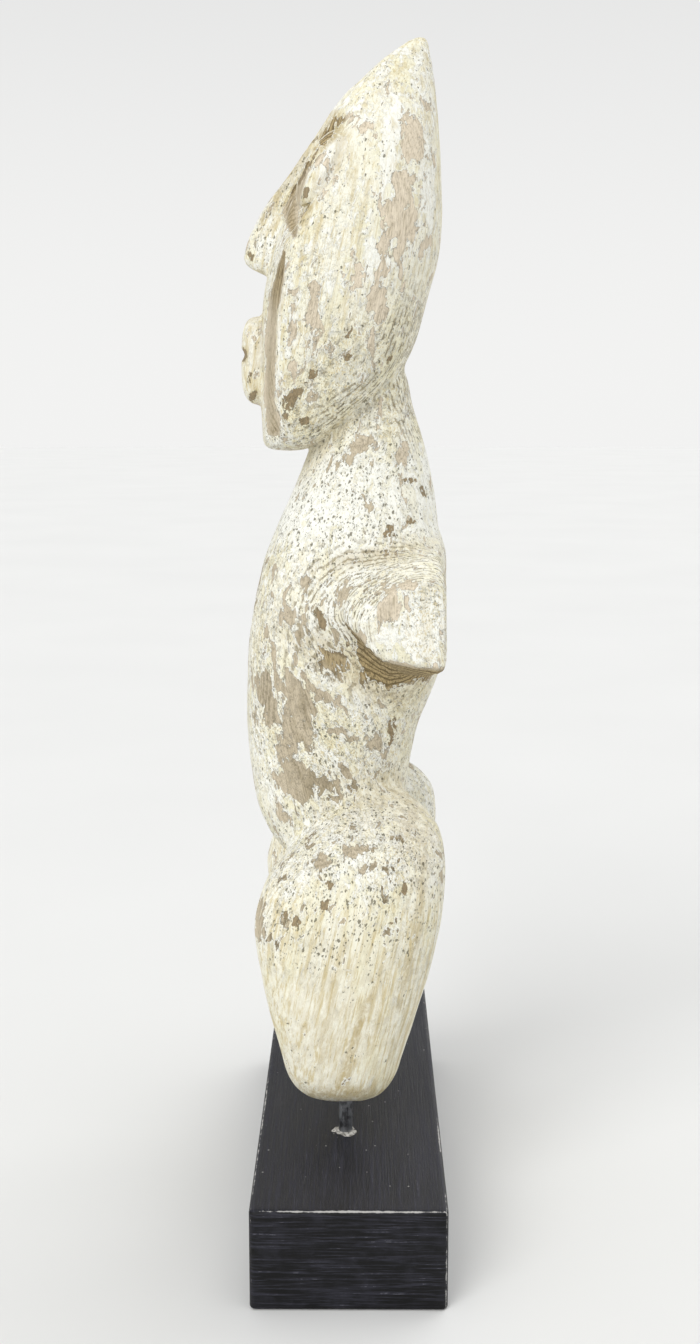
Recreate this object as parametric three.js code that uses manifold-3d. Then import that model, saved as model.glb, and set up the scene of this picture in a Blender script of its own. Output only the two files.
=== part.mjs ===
// A carved and whitewashed tiki figure with stub arms and leg stumps, on a black wooden base with two steel rods.
// Millimetres, +Z up. The figure faces -Y and its left side is +X. The origin is the centre of the base's underside.
import * as THREE from "three";
import { mergeVertices } from "three/addons/utils/BufferGeometryUtils.js";
import Module from "manifold-3d";

const wasm = await Module();
wasm.setup();

// Driving dimensions
const figureHeight = 454; // from the leg stumps' undersides to the tip of the head
const baseLength = 250; // along X, across the figure
const baseDepth = 80; // along Y, front to back
const baseHeight = 43;
const baseEdgeRadius = 1.5;
const baseCornerRadius = 2.5; // of the four upright edges
const rodDiameter = 6;
const rodShown = 17; // bare rod between the base and a leg stump
const rodInBase = 26;
const rodInLeg = 32;
const rodHoleGap = 0.3; // all round a rod in its hole, and at the hole's end

// Finish colours
const whitewash = { color: 0xdcd3b8, roughness: 0.85, metalness: 0 };
const blackStain = { color: 0x17171a, roughness: 0.6, metalness: 0 };
const steel = { color: 0x8c8e92, roughness: 0.4, metalness: 0.9 };

// The figure's form. Every number in this section is a share of the figure's height: x outwards from the middle
// plane, y towards the back, t up from the leg stumps' undersides.

// Trunk and neck at heights t: front and back on the middle plane, and half the width.
const trunkRows = [
  // t, front, back, half width
  [0.17, -0.01, 0.05, 0.03],
  [0.198, -0.036, 0.054, 0.06],
  [0.23, -0.074, 0.056, 0.083],
  [0.264, -0.092, 0.055, 0.094],
  [0.306, -0.1, 0.0595, 0.099],
  [0.346, -0.103, 0.068, 0.104],
  [0.388, -0.102, 0.081, 0.109],
  [0.427, -0.1, 0.087, 0.11],
  [0.469, -0.094, 0.087, 0.11],
  [0.509, -0.084, 0.087, 0.104],
  [0.548, -0.069, 0.085, 0.092],
  [0.586, -0.053, 0.08, 0.077],
  [0.626, -0.037, 0.071, 0.064],
  [0.664, -0.031, 0.059, 0.056],
  [0.72, -0.026, 0.055, 0.05],
];
const trunkEnds = { low: 0.185, high: 0.71 };

// One leg, from its stump up to where it is lost in the trunk.
const legRows = [
  // t, front, back, middle of its width, half width
  [0, -0.056, 0.041, 0.117, 0.04],
  [0.026, -0.061, 0.0455, 0.117, 0.043],
  [0.051, -0.067, 0.0525, 0.1165, 0.0455],
  [0.075, -0.074, 0.06, 0.115, 0.0485],
  [0.099, -0.0795, 0.0675, 0.1135, 0.052],
  [0.123, -0.084, 0.075, 0.111, 0.055],
  [0.148, -0.0885, 0.081, 0.109, 0.0575],
  [0.172, -0.0905, 0.086, 0.1065, 0.0595],
  [0.195, -0.0855, 0.089, 0.1035, 0.0605],
  [0.216, -0.077, 0.0905, 0.1, 0.0595],
  [0.2335, -0.063, 0.0905, 0.097, 0.0565],
  [0.26, -0.038, 0.085, 0.09, 0.047],
  [0.286, -0.008, 0.064, 0.079, 0.026],
];
const legTop = 0.292;

// One stub arm, from inside the trunk out to its sawn end.
const armRows = [
  // x, front, back, underside at the back, top
  [0.06, -0.05, 0.086, 0.37, 0.525],
  [0.11, -0.04, 0.087, 0.381, 0.523],
  [0.135, -0.021, 0.0875, 0.394, 0.52],
  [0.16, 0.0, 0.087, 0.409, 0.514],
  [0.19, 0.0215, 0.0855, 0.429, 0.506],
];
const armEnds = { root: 0.04, sawn: 0.187 };
const armMiddle = { inFront: 0.022, up: 0.55 }; // in front of its back line, and as a share of its depth
const armSlant = { inner: 0.53, sawn: 0.18 }; // how fast the underside climbs to the front, at two places
const armDrop = 1.6; // the lower half of its oval, as a share of the height below its middle
const armEdge = { from: 0.13, soft: 0.085, to: 0.183, crisp: 0.008 }; // how the underside's edge sharpens outwards

// Head without nose and mouth: the face and forehead line, the back line, and half the width.
const headRows = [
  // t, face, back, half width
  [0.61, -0.083, 0.03, 0.06],
  [0.65, -0.086, 0.04, 0.077],
  [0.683, -0.086, 0.053, 0.089],
  [0.722, -0.086, 0.064, 0.098],
  [0.759, -0.083, 0.0735, 0.101],
  [0.797, -0.075, 0.083, 0.1],
  [0.834, -0.063, 0.086, 0.0955],
  [0.87, -0.047, 0.085, 0.087],
  [0.9075, -0.0295, 0.083, 0.073],
  [0.943, -0.0095, 0.0805, 0.052],
  [0.961, 0.01, 0.0785, 0.04],
  [0.979, 0.031, 0.0755, 0.026],
  [1.0, 0.06, 0.071, 0.0095],
];
const headTop = 1.0;
const jawLine = { y: -0.045, t: 0.6125, rise: 0.745 }; // the head's underside climbs from the chin to the nape
const chinLine = 0.6165;
const cheekCut = 0.027; // taken off the edge between face and cheek

// Nose: its ridge line, and half its width where it meets the face.
const noseRows = [
  // t, ridge, half width
  [0.765, -0.1025, 0.028],
  [0.797, -0.102, 0.0265],
  [0.815, -0.0975, 0.0245],
  [0.834, -0.0875, 0.0225],
  [0.852, -0.0765, 0.0215],
  [0.87, -0.063, 0.022],
  [0.889, -0.049, 0.024],
  [0.9075, -0.0355, 0.027],
  [0.94, -0.012, 0.032],
];
const noseTip = { y: -0.1, t: 0.79, drop: 0.4 };
const noseTop = 0.935;
const noseRidge = 0.42; // the ridge's width, as a share of the width at the face
const noseDepth = 0.03; // from the ridge back to where the nose is its full width

const mouth = { y: -0.08, t: 0.7015, half: [0.034, 0.0245, 0.0425], roundness: 3.6 };
const mouthSlit = { y: -0.1085, t: 0.707, half: [0.04, 0.0075, 0.005] };
const eyeSocket = {
  x: 0.055, y: -0.0385, t: 0.864, half: [0.0305, 0.0165, 0.056], turn: 0.5, lean: 0.5, roundness: 1.7,
};
const eyeball = {
  x: 0.0655, y: -0.0285, t: 0.8725, half: [0.0235, 0.0125, 0.04], turn: 0.5, lean: 0.5, roundness: 1.8,
};

// How square the ovals are: 2 is an ellipse, and more is squarer
const roundness = { trunk: 2.4, leg: 2.3, arm: 1.7, head: 2.5 };
const faceBow = { low: 0.8, atLow: 4.4, high: 0.95, atHigh: 14 }; // the face's curve across, at two heights
const faceSpare = 0.028; // the head's oval runs on in front of the face, which cuts it flat
const cheekTop = 0.83; // the slanting cheek edge ends here
const fillet = { arm: 0.03, leg: 0.018, head: 0.006 };

// Ends and spacing of the grid that the figure is wrapped on, finer at the face
const gridAcross = { start: 0.0055, fine: 0.0105, fineTo: 0.06, coarse: 0.0175, end: 0.2 };
const gridDeep = { start: -0.115, fine: 0.0095, fineTo: -0.06, coarse: 0.0165, end: 0.1 };
const gridUp = { start: -0.012, fineFrom: 0.66, fine: 0.0105, fineTo: 0.9, coarse: 0.0195, end: 1.01 };

const rodPlace = { x: 0.1165, y: -0.004 }; // under the middle of a leg stump

// A smooth line through the rows of a table, as a function of the first column.
function through(rows) {
  const places = rows.map((row) => row[0]);
  const values = rows.flatMap((row) => row.slice(1));
  const line = new THREE.CubicInterpolant(places, values, rows[0].length - 1, []);
  return (place) => line.evaluate(THREE.MathUtils.clamp(place, places[0], places.at(-1)));
}

// Fields are below 0 inside a form, above 0 outside, and about the distance to its surface near it.
const softJoin = (a, b, width) => {
  const near = Math.max(width - Math.abs(a - b), 0) / width;
  return Math.min(a, b) - (near * near * width) / 4;
};
const softCut = (a, b, width) => -softJoin(-a, -b, width);

// An oval of the given half sizes. A roundness of 2 is an ellipse, and more is squarer.
function oval(x, y, halfX, halfY, roundness) {
  const reach = (Math.abs(x / halfX) ** roundness + Math.abs(y / halfY) ** roundness) ** (1 / roundness);
  const fromMiddle = Math.hypot(x, y);
  return fromMiddle < 1e-9 ? -Math.min(halfX, halfY) : fromMiddle * (1 - 1 / reach);
}

// An egg of the given half sizes, turned to face outwards and leaning back by these angles. A roundness under 2
// gives it points.
function egg(x, y, t, { x: eggX = 0, y: eggY, t: eggT, half, turn = 0, lean = 0, roundness = 2 }) {
  const wide = Math.cos(turn) * (x - eggX) + Math.sin(turn) * (y - eggY);
  const deep = Math.cos(turn) * (y - eggY) - Math.sin(turn) * (x - eggX);
  const tall = Math.cos(lean) * (t - eggT) + Math.sin(lean) * deep;
  const thick = Math.cos(lean) * deep - Math.sin(lean) * (t - eggT);
  const parts = [wide / half[0], thick / half[1], tall / half[2]];
  const reach = parts.reduce((sum, part) => sum + Math.abs(part) ** roundness, 0) ** (1 / roundness);
  return (reach - 1) * Math.min(...half);
}

const trunkAt = through(trunkRows);
function trunk(x, y, t) {
  const [front, back, half] = trunkAt(t);
  const side = oval(x, y - (front + back) / 2, half, (back - front) / 2, roundness.trunk);
  return softCut(side, Math.max(trunkEnds.low - t, t - trunkEnds.high), 0.04);
}

const legAt = through(legRows);
function leg(x, y, t) {
  const [front, back, middle, half] = legAt(t);
  const side = oval(x - middle, y - (front + back) / 2, half, (back - front) / 2, roundness.leg);
  return softCut(softCut(side, -t, 0.036), t - legTop, 0.02);
}

// An oval at every place along the arm, cut by a flat back, a slanting underside and the sawn end.
const armAt = through(armRows);
function arm(x, y, t) {
  const [front, back, low, high] = armAt(x);
  const middleY = back - armMiddle.inFront;
  const middleT = low + armMiddle.up * (high - low);
  const halfT = t > middleT ? high - middleT : armDrop * (middleT - low);
  const side = oval(y - middleY, t - middleT, middleY - front, halfT, roundness.arm);
  const outwards = THREE.MathUtils.clamp((x - armEdge.from) / (armEdge.to - armEdge.from), 0, 1);
  const slant = THREE.MathUtils.lerp(armSlant.inner, armSlant.sawn, outwards);
  const under = (low + slant * (back - y) - t) * Math.cos(Math.atan(slant));
  const softness = THREE.MathUtils.lerp(armEdge.soft, armEdge.crisp, outwards);
  const cut = softCut(softCut(side, y - back, 0.014), under, softness);
  return softCut(cut, Math.max(x - armEnds.sawn, armEnds.root - x), 0.006);
}

const headAt = through(headRows);
function headMass(x, y, t) {
  const [face, back, half] = headAt(t);
  const middle = (face - faceSpare + back) / 2;
  const side = oval(x, y - middle, half, back - middle, roundness.head);
  const up = THREE.MathUtils.clamp((t - faceBow.low) / (faceBow.high - faceBow.low), 0, 1);
  const bow = THREE.MathUtils.lerp(faceBow.atLow, faceBow.atHigh, up);
  const facePlane = face + 0.5 * bow * x * x - y;
  const cheekEdge = (x - y - (half - face - cheekCut)) * Math.SQRT1_2;
  const jaw = (jawLine.t + jawLine.rise * (y - jawLine.y) - t) * Math.cos(Math.atan(jawLine.rise));
  let form = softCut(side, facePlane, 0.008);
  if (t < cheekTop) form = softCut(form, cheekEdge, 0.004);
  form = softCut(form, jaw, 0.03);
  return softCut(softCut(form, chinLine - t, 0.012), t - headTop, 0.008);
}

const noseAt = through(noseRows);
function nose(x, y, t) {
  const [ridge, half] = noseAt(t);
  const behind = y - ridge;
  const ridgeHalf = noseRidge * half;
  const side = x - ridgeHalf - (half - ridgeHalf) * Math.min(behind / noseDepth, 1.2);
  const under = noseTip.t - noseTip.drop * (y - noseTip.y) - t;
  const ends = softCut(under, t - noseTop, 0.01);
  return softCut(softCut(Math.max(side, y - 0.01), -behind, 0.007), ends, 0.01);
}

function head(x, y, t) {
  let form = headMass(x, y, t);
  form = softJoin(form, nose(x, y, t), 0.005);
  form = softCut(form, -egg(x, y, t, eyeSocket), 0.004);
  form = softJoin(form, egg(x, y, t, eyeball), 0.002);
  const lips = softCut(egg(x, y, t, mouth), -egg(x, y, t, mouthSlit), 0.004);
  return softJoin(form, lips, 0.004);
}

function figureField(signedX, y, t) {
  const x = Math.abs(signedX);
  let form = softJoin(trunk(x, y, t), arm(x, y, t), fillet.arm);
  form = softJoin(form, leg(x, y, t), fillet.leg);
  return softJoin(form, head(x, y, t), fillet.head);
}

// Places from one end to the other, whose spacing is what stepAt says.
function spaced(from, to, stepAt) {
  const places = [from];
  while (places.at(-1) < to) places.push(places.at(-1) + stepAt(places.at(-1)));
  return places;
}

const mirrored = (half) => [...half.toReversed().map((place) => -place), ...half];

// The skin of a field as a closed mesh. A grid cell gets one vertex for each group of joined corners that lie
// inside the form, and each grid edge that crosses the surface gets one quad around it.
function skin(field, xs, ys, zs) {
  const places = [xs, ys, zs];
  const step = [1, xs.length, xs.length * ys.length];
  const values = new Float64Array(step[2] * zs.length);
  zs.forEach((z, k) => ys.forEach((y, j) => xs.forEach((x, i) => {
    values[i + j * step[1] + k * step[2]] = field(x, y, z);
  })));
  const corners = [0, 1, 2, 3, 4, 5, 6, 7];
  const bits = [1, 2, 4];
  const shift = corners.map((corner) => bits.reduce((sum, bit, axis) => sum + (corner & bit ? step[axis] : 0), 0));
  const edges = corners.flatMap((corner) => {
    return bits.filter((bit) => !(corner & bit)).map((bit) => [corner, corner | bit]);
  });

  const points = [];
  const vertexAt = new Map(); // by eight times the cell plus the inside corner
  for (let k = 0; k < zs.length - 1; k++)
    for (let j = 0; j < ys.length - 1; j++)
      for (let i = 0; i < xs.length - 1; i++) {
        const cell = i + j * step[1] + k * step[2];
        const inside = corners.map((corner) => values[cell + shift[corner]] < 0);
        if (inside.every((is) => is === inside[0])) continue;
        const place = (corner) => new THREE.Vector3(...bits.map((bit, axis) => {
          return places[axis][[i, j, k][axis] + (corner & bit ? 1 : 0)];
        }));
        const group = [...corners];
        for (const [a, b] of [...edges, ...edges, ...edges])
          if (inside[a] && inside[b]) group[a] = group[b] = Math.min(group[a], group[b]);
        for (const first of corners) {
          const members = corners.filter((corner) => inside[corner] && group[corner] === first);
          const cuts = edges.filter(([a, b]) => inside[a] !== inside[b] && members.includes(inside[a] ? a : b));
          if (!cuts.length) continue;
          const crossings = cuts.map(([a, b]) => {
            const [va, vb] = [values[cell + shift[a]], values[cell + shift[b]]];
            return place(a).lerp(place(b), va / (va - vb));
          });
          for (const corner of members) vertexAt.set(8 * cell + corner, points.length);
          points.push(bestFit(field, crossings, new THREE.Box3(place(0), place(7))));
        }
      }

  const index = [];
  for (let axis = 0; axis < 3; axis++) {
    const [u, v] = [(axis + 1) % 3, (axis + 2) % 3];
    for (let at = step[u] + step[v]; at < values.length - step[axis]; at++) {
      const inside = values[at] < 0;
      if (inside === values[at + step[axis]] < 0) continue;
      const end = inside ? 0 : bits[axis];
      const quad = [bits[u] | bits[v], bits[v], 0, bits[u]].map((corner) => {
        return vertexAt.get(8 * (at - shift[corner]) + (corner | end));
      });
      if (!inside) quad.reverse();
      const [a, b, c, d] = quad;
      const shortWay = points[a].distanceTo(points[c]) < points[b].distanceTo(points[d]);
      index.push(...(shortWay ? [a, b, c, a, c, d] : [a, b, d, b, c, d]));
    }
  }
  const mesh = new THREE.BufferGeometry().setFromPoints(points);
  mesh.setIndex(index);
  return mesh;
}

// The point of a cell that lies best on the surface's planes at all its crossings, so that edges stay crisp.
function bestFit(field, crossings, cell) {
  const reach = 1e-4;
  const planes = crossings.map(({ x, y, z }) => {
    const value = field(x, y, z);
    const slope = new THREE.Vector3(
      field(x + reach, y, z) - value,
      field(x, y + reach, z) - value,
      field(x, y, z + reach) - value,
    ).divideScalar(reach);
    const steepness = Math.max(slope.length(), 0.2);
    return { normal: slope.divideScalar(steepness), at: new THREE.Vector3(x, y, z), value: value / steepness };
  });
  const point = crossings.reduce((sum, at) => sum.add(at), new THREE.Vector3()).divideScalar(crossings.length);
  for (let pass = 0; pass < 10; pass++) {
    const pull = new THREE.Vector3();
    for (const { normal, at, value } of planes) {
      pull.addScaledVector(normal, -value - normal.dot(point.clone().sub(at)));
    }
    point.addScaledVector(pull, 1 / planes.length);
  }
  return cell.expandByScalar(-0.0002).clampPoint(point, point);
}

// manifold-3d solids, for the cuts
function solidOf(geometry) {
  const bare = geometry.clone();
  bare.deleteAttribute("normal");
  bare.deleteAttribute("uv");
  const merged = mergeVertices(bare, 1e-4);
  return new wasm.Manifold(
    new wasm.Mesh({
      numProp: 3,
      vertProperties: new Float32Array(merged.attributes.position.array),
      triVerts: new Uint32Array(merged.index.array),
    }),
  );
}

function geometryOf(solid) {
  const mesh = solid.getMesh();
  const geometry = new THREE.BufferGeometry();
  geometry.setAttribute("position", new THREE.BufferAttribute(mesh.vertProperties, 3));
  geometry.setIndex(new THREE.BufferAttribute(mesh.triVerts, 1));
  geometry.computeVertexNormals();
  return geometry;
}

// An upright round bar between two heights.
function bar(diameter, low, high, x, y) {
  const sides = 24;
  const geometry = new THREE.CylinderGeometry(diameter / 2, diameter / 2, high - low, sides);
  return geometry.rotateX(Math.PI / 2).translate(x, y, (low + high) / 2);
}

const legUnderside = baseHeight + rodShown;
const rodSpots = [1, -1].map((side) => [side * rodPlace.x * figureHeight, rodPlace.y * figureHeight]);
const holeDiameter = rodDiameter + 2 * rodHoleGap;

function makeBase() {
  const outline = new THREE.Shape();
  const [halfX, halfY] = [baseLength / 2 - baseEdgeRadius, baseDepth / 2 - baseEdgeRadius];
  const corner = baseCornerRadius;
  outline.absarc(halfX - corner, halfY - corner, corner, 0, Math.PI / 2);
  outline.absarc(corner - halfX, halfY - corner, corner, Math.PI / 2, Math.PI);
  outline.absarc(corner - halfX, corner - halfY, corner, Math.PI, 1.5 * Math.PI);
  outline.absarc(halfX - corner, corner - halfY, corner, 1.5 * Math.PI, 2 * Math.PI);
  const block = new THREE.ExtrudeGeometry(outline, {
    depth: baseHeight - 2 * baseEdgeRadius,
    bevelThickness: baseEdgeRadius,
    bevelSize: baseEdgeRadius,
    bevelSegments: 2,
    curveSegments: 3,
  }).translate(0, 0, baseEdgeRadius);
  let solid = solidOf(block);
  for (const [x, y] of rodSpots) {
    const floor = baseHeight - rodInBase - rodHoleGap;
    solid = solid.subtract(solidOf(bar(holeDiameter, floor, baseHeight + 1, x, y)));
  }
  return geometryOf(solid);
}

function makeFigure() {
  const stepAcross = (x) => (x < gridAcross.fineTo ? gridAcross.fine : gridAcross.coarse);
  const stepDeep = (y) => (y < gridDeep.fineTo ? gridDeep.fine : gridDeep.coarse);
  const stepUp = (t) => (t > gridUp.fineFrom && t < gridUp.fineTo ? gridUp.fine : gridUp.coarse);
  const across = mirrored(spaced(gridAcross.start, gridAcross.end, stepAcross));
  const deep = spaced(gridDeep.start, gridDeep.end, stepDeep);
  const up = spaced(gridUp.start, gridUp.end, stepUp);
  const form = skin(figureField, across, deep, up);
  form.scale(figureHeight, figureHeight, figureHeight).translate(0, 0, legUnderside);
  let solid = solidOf(form);
  for (const [x, y] of rodSpots) {
    const top = legUnderside + rodInLeg + rodHoleGap;
    solid = solid.subtract(solidOf(bar(holeDiameter, legUnderside - 2, top, x, y)));
  }
  return geometryOf(solid);
}

function named(name, geometry, look) {
  const mesh = new THREE.Mesh(geometry, new THREE.MeshStandardMaterial(look));
  mesh.name = name;
  return mesh;
}

const statue = new THREE.Group();
statue.add(named("base", makeBase(), blackStain));
statue.add(named("figure", makeFigure(), whitewash));
rodSpots.forEach(([x, y], spot) => {
  const rod = bar(rodDiameter, baseHeight - rodInBase, legUnderside + rodInLeg, x, y);
  statue.add(named(spot === 0 ? "rod_left" : "rod_right", rod, steel));
});

export default statue;
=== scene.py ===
"""Looks of a carved, whitewashed tiki figure on a black base: meshes, finishes, floor, lights and camera."""

import logging
import math
from collections.abc import Callable, Sequence
from dataclasses import dataclass
from enum import Enum

import bpy
import numpy as np
from mathutils import Matrix, Vector


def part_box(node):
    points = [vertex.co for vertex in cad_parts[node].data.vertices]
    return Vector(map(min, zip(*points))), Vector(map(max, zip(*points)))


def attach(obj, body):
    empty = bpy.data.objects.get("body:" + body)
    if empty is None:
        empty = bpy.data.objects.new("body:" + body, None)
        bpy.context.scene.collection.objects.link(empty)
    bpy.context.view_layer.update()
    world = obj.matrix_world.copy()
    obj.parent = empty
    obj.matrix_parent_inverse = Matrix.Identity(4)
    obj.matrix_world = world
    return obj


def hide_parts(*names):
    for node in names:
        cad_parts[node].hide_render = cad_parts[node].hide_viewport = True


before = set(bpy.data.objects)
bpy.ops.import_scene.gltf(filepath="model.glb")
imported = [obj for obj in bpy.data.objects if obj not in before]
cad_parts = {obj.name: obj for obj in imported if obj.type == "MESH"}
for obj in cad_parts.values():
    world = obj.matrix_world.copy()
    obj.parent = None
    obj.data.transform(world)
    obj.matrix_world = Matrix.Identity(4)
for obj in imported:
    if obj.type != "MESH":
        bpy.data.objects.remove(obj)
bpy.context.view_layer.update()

Array = np.ndarray
Colour = tuple[float, float, float, float]
Form = Callable[[Array, Array, Array], Array]  # of x, y and height
log = logging.getLogger("tiki statue")

MM = 0.001
PHOTO_WIDTH = 700
PHOTO_HEIGHT = 1344
ROD_SHOWN = 17 * MM  # bare rod between the base and a leg stump
TIP_SHARE = 0.9988  # how far up its own height the figure's rounded tip reaches
TRUNK_MIDDLE = 0.2  # how far to the figure's right the middle of the tree it was cut from lies
SETTLING_ROUNDS = 12  # how often the wrapped skin's points are pulled towards the form


def tint(red: int, green: int, blue: int) -> Colour:
    """Turns a colour as a screen shows it, 0 to 255, into the light values that a shader takes."""
    return (*[(part / 255) ** 2.2 for part in (red, green, blue)], 1.0)


def ease(value: Array, low: float, high: float) -> Array:
    """Rises smoothly from 0 at low to 1 at high: 3s² - 2s³ of the share s of the way between them."""
    share = np.clip((value - low) / (high - low), 0, 1)
    return share * share * (3 - 2 * share)


# Shapes


@dataclass(frozen=True)
class Rows:
    """A smooth line through the rows of a table, as a function of the first column."""

    table: tuple[tuple[float, ...], ...]

    def __call__(self, places: Array) -> list[Array]:
        """Reads the other columns at some places.

        Formula: a cubic between two rows, whose slope at each row is the mean of the slopes on its two sides.

        Args:
            places: values of the first column, in an array of any shape.

        Returns:
            One array like places for each other column.
        """
        rows = np.array(self.table)
        at = rows[:, 0]
        steps = np.diff(at)
        places = np.clip(places, at[0], at[-1])
        row = np.clip(np.searchsorted(at, places, side="right") - 1, 0, len(at) - 2)
        step = steps[row]
        share = (places - at[row]) / step
        columns = []
        for values in rows[:, 1:].T:
            sides = np.diff(values) / steps
            slopes = np.concatenate([sides[:1], (sides[1:] + sides[:-1]) / 2, sides[-1:]])
            start = values[row] * (1 + 2 * share) + slopes[row] * step * share
            end = values[row + 1] * (3 - 2 * share) - slopes[row + 1] * step * (1 - share)
            columns.append(start * (1 - share) ** 2 + end * share**2)
        return columns


def soft_join(one: Array, other: Array, width: float) -> Array:
    """Joins two forms with a fillet: the lesser field, less a quarter of the width where the two are
    equal."""
    near = np.maximum(width - np.abs(one - other), 0) / width
    return np.minimum(one, other) - near * near * width / 4


def soft_cut(one: Array, other: Array, width: float) -> Array:
    """Keeps what lies in both forms, with the edge between them eased: soft_join turned inside out."""
    return -soft_join(-one, -other, width)


def oval(x: Array, y: Array, half_x: Array, half_y: Array, roundness: float) -> Array:
    """Field of an oval: the distance from its middle, less the same distance where the ray leaves the
    oval."""
    reach = (np.abs(x / half_x) ** roundness + np.abs(y / half_y) ** roundness) ** (1 / roundness)
    return np.maximum(np.hypot(x, y), 1e-9) * (1 - 1 / np.maximum(reach, 1e-9))


@dataclass(frozen=True)
class Egg:
    """A pointed or squarish egg, turned to face outwards and leaning back, in shares of the figure's
    height."""

    x: float
    y: float
    t: float
    half: tuple[float, float, float]
    turn: float = 0.0
    lean: float = 0.0
    roundness: float = 2.0

    def __call__(self, x: Array, y: Array, t: Array) -> Array:
        """Field of the egg: (reach - 1) times its least half size, where reach is 1 on its skin."""
        out, back, up = x - self.x, y - self.y, t - self.t
        wide = math.cos(self.turn) * out + math.sin(self.turn) * back
        deep = math.cos(self.turn) * back - math.sin(self.turn) * out
        tall = math.cos(self.lean) * up + math.sin(self.lean) * deep
        thick = math.cos(self.lean) * deep - math.sin(self.lean) * up
        parts = [np.abs(part / half) ** self.roundness for part, half in zip((wide, thick, tall), self.half)]
        return (sum(parts) ** (1 / self.roundness) - 1) * min(self.half)


def wrap(form: Form, lines: Sequence[Array]) -> tuple[Array, Array]:
    """Wraps the skin of a form in quads.

    Formula: a grid cell that the skin passes through gets one point, the place that lies best on the
    tangent planes where the skin crosses the cell's edges. A grid edge that crosses the skin gets one quad
    between the points of the four cells around it.

    Args:
        form: a field of x, y and z, below 0 inside.
        lines: the grid's places along x, y and z.

    Returns:
        The points, and the quads as rows of four point numbers, facing outwards.
    """
    values = form(lines[0][:, None, None], lines[1][None, :, None], lines[2][None, None, :])
    cells = np.array(values.shape) - 1
    jump = np.array([cells[1] * cells[2], cells[2], 1])
    planes, rings = [], []
    for axis in range(3):
        after = np.roll(values, -1, axis=axis)
        crossed = (values < 0) != (after < 0)
        np.moveaxis(crossed, axis, 0)[-1] = False
        node = np.argwhere(crossed)
        low, high = values[crossed], after[crossed]
        at = np.stack([line[node[:, k]] for k, line in enumerate(lines)], axis=1)
        step = lines[axis][node[:, axis] + 1] - lines[axis][node[:, axis]]
        at[:, axis] += step * low / (low - high)
        value, normal = slope_of(form, at)
        u, v = (axis + 1) % 3, (axis + 2) % 3
        first = node @ jump - jump[u] - jump[v]
        ring = np.stack([first, first + jump[u], first + jump[u] + jump[v], first + jump[v]], axis=1)
        planes.append((ring, at, value, normal))
        rings.append(np.where((low < 0)[:, None], ring, ring[:, ::-1]))
    ring = np.concatenate(rings)
    active, faces = np.unique(ring, return_inverse=True)
    faces = faces.reshape(ring.shape)

    def gather(number: Callable[..., Array]) -> Array:
        """Sums a number over all crossings of each cell."""
        total = np.zeros(len(active))
        for cell, at, value, normal in planes:
            places = np.searchsorted(active, cell).T.ravel()
            total += np.bincount(places, np.tile(number(at, value, normal), 4), len(active))
        return total

    count = gather(lambda at, value, normal: np.ones(len(at)))
    points = np.stack([gather(lambda at, value, normal, k=k: at[:, k]) for k in range(3)], axis=1)
    points /= count[:, None]
    pull = np.empty((len(active), 3))
    square = np.empty((len(active), 3, 3))
    for k in range(3):
        pull[:, k] = gather(
            lambda at, value, normal, k=k: normal[:, k] * (np.einsum("ij,ij->i", normal, at) - value)
        )
        for m in range(3):
            square[:, k, m] = gather(lambda at, value, normal, k=k, m=m: normal[:, k] * normal[:, m])
    corner = np.stack(np.unravel_index(active, cells), axis=1)
    lowest = np.stack([line[corner[:, k]] for k, line in enumerate(lines)], axis=1)
    highest = np.stack([line[corner[:, k] + 1] for k, line in enumerate(lines)], axis=1)
    for _ in range(SETTLING_ROUNDS):
        points += (pull - np.einsum("ijk,ik->ij", square, points)) / count[:, None]
    return np.clip(points, lowest, highest), faces


def slope_of(form: Form, points: Array) -> tuple[Array, Array]:
    """Value and outward direction of a field at some points.

    Formula: the change of the field over a short reach along each axis, made one long; the value is divided
    by the field's steepness, so that it is a distance.
    """
    reach, least = 1e-4, 0.2
    value = form(*points.T)
    slope = np.stack([form(*(points + reach * step).T) - value for step in np.eye(3)], axis=1) / reach
    steepness = np.maximum(np.linalg.norm(slope, axis=1), least)
    return value / steepness, slope / steepness[:, None]


def spaced(start: float, stop: float, step_at: Callable[[float], float]) -> Array:
    """Places from start to past stop, each one step_at further than the last."""
    places = [start]
    while places[-1] < stop:
        places.append(places[-1] + step_at(places[-1]))
    return np.array(places)


class Waves:
    """Smooth random waves in space, the same at every run."""

    def __init__(self, seed: int) -> None:
        """Draws the waves' heights on the corners of a cubic lattice, from -1 to 1."""
        self.size = 24
        self.heights = np.random.default_rng(seed).uniform(-1, 1, (self.size,) * 3)

    def __call__(self, points: Array, length: Sequence[float]) -> Array:
        """Height of the waves at some points.

        Formula: the heights of the eight lattice corners around a point, blended by the eased share of the
        way to each.

        Args:
            points: rows of x, y and z.
            length: the lattice's spacing along x, y and z.
        """
        place = points / np.array(length)
        corner = np.floor(place).astype(int)
        share = place - corner
        share = share * share * (3 - 2 * share)
        total = np.zeros(len(points))
        for offset in np.ndindex(2, 2, 2):
            i, j, k = ((corner + offset) % self.size).T
            total += self.heights[i, j, k] * np.prod(np.where(offset, share, 1 - share), axis=1)
        return total


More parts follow.
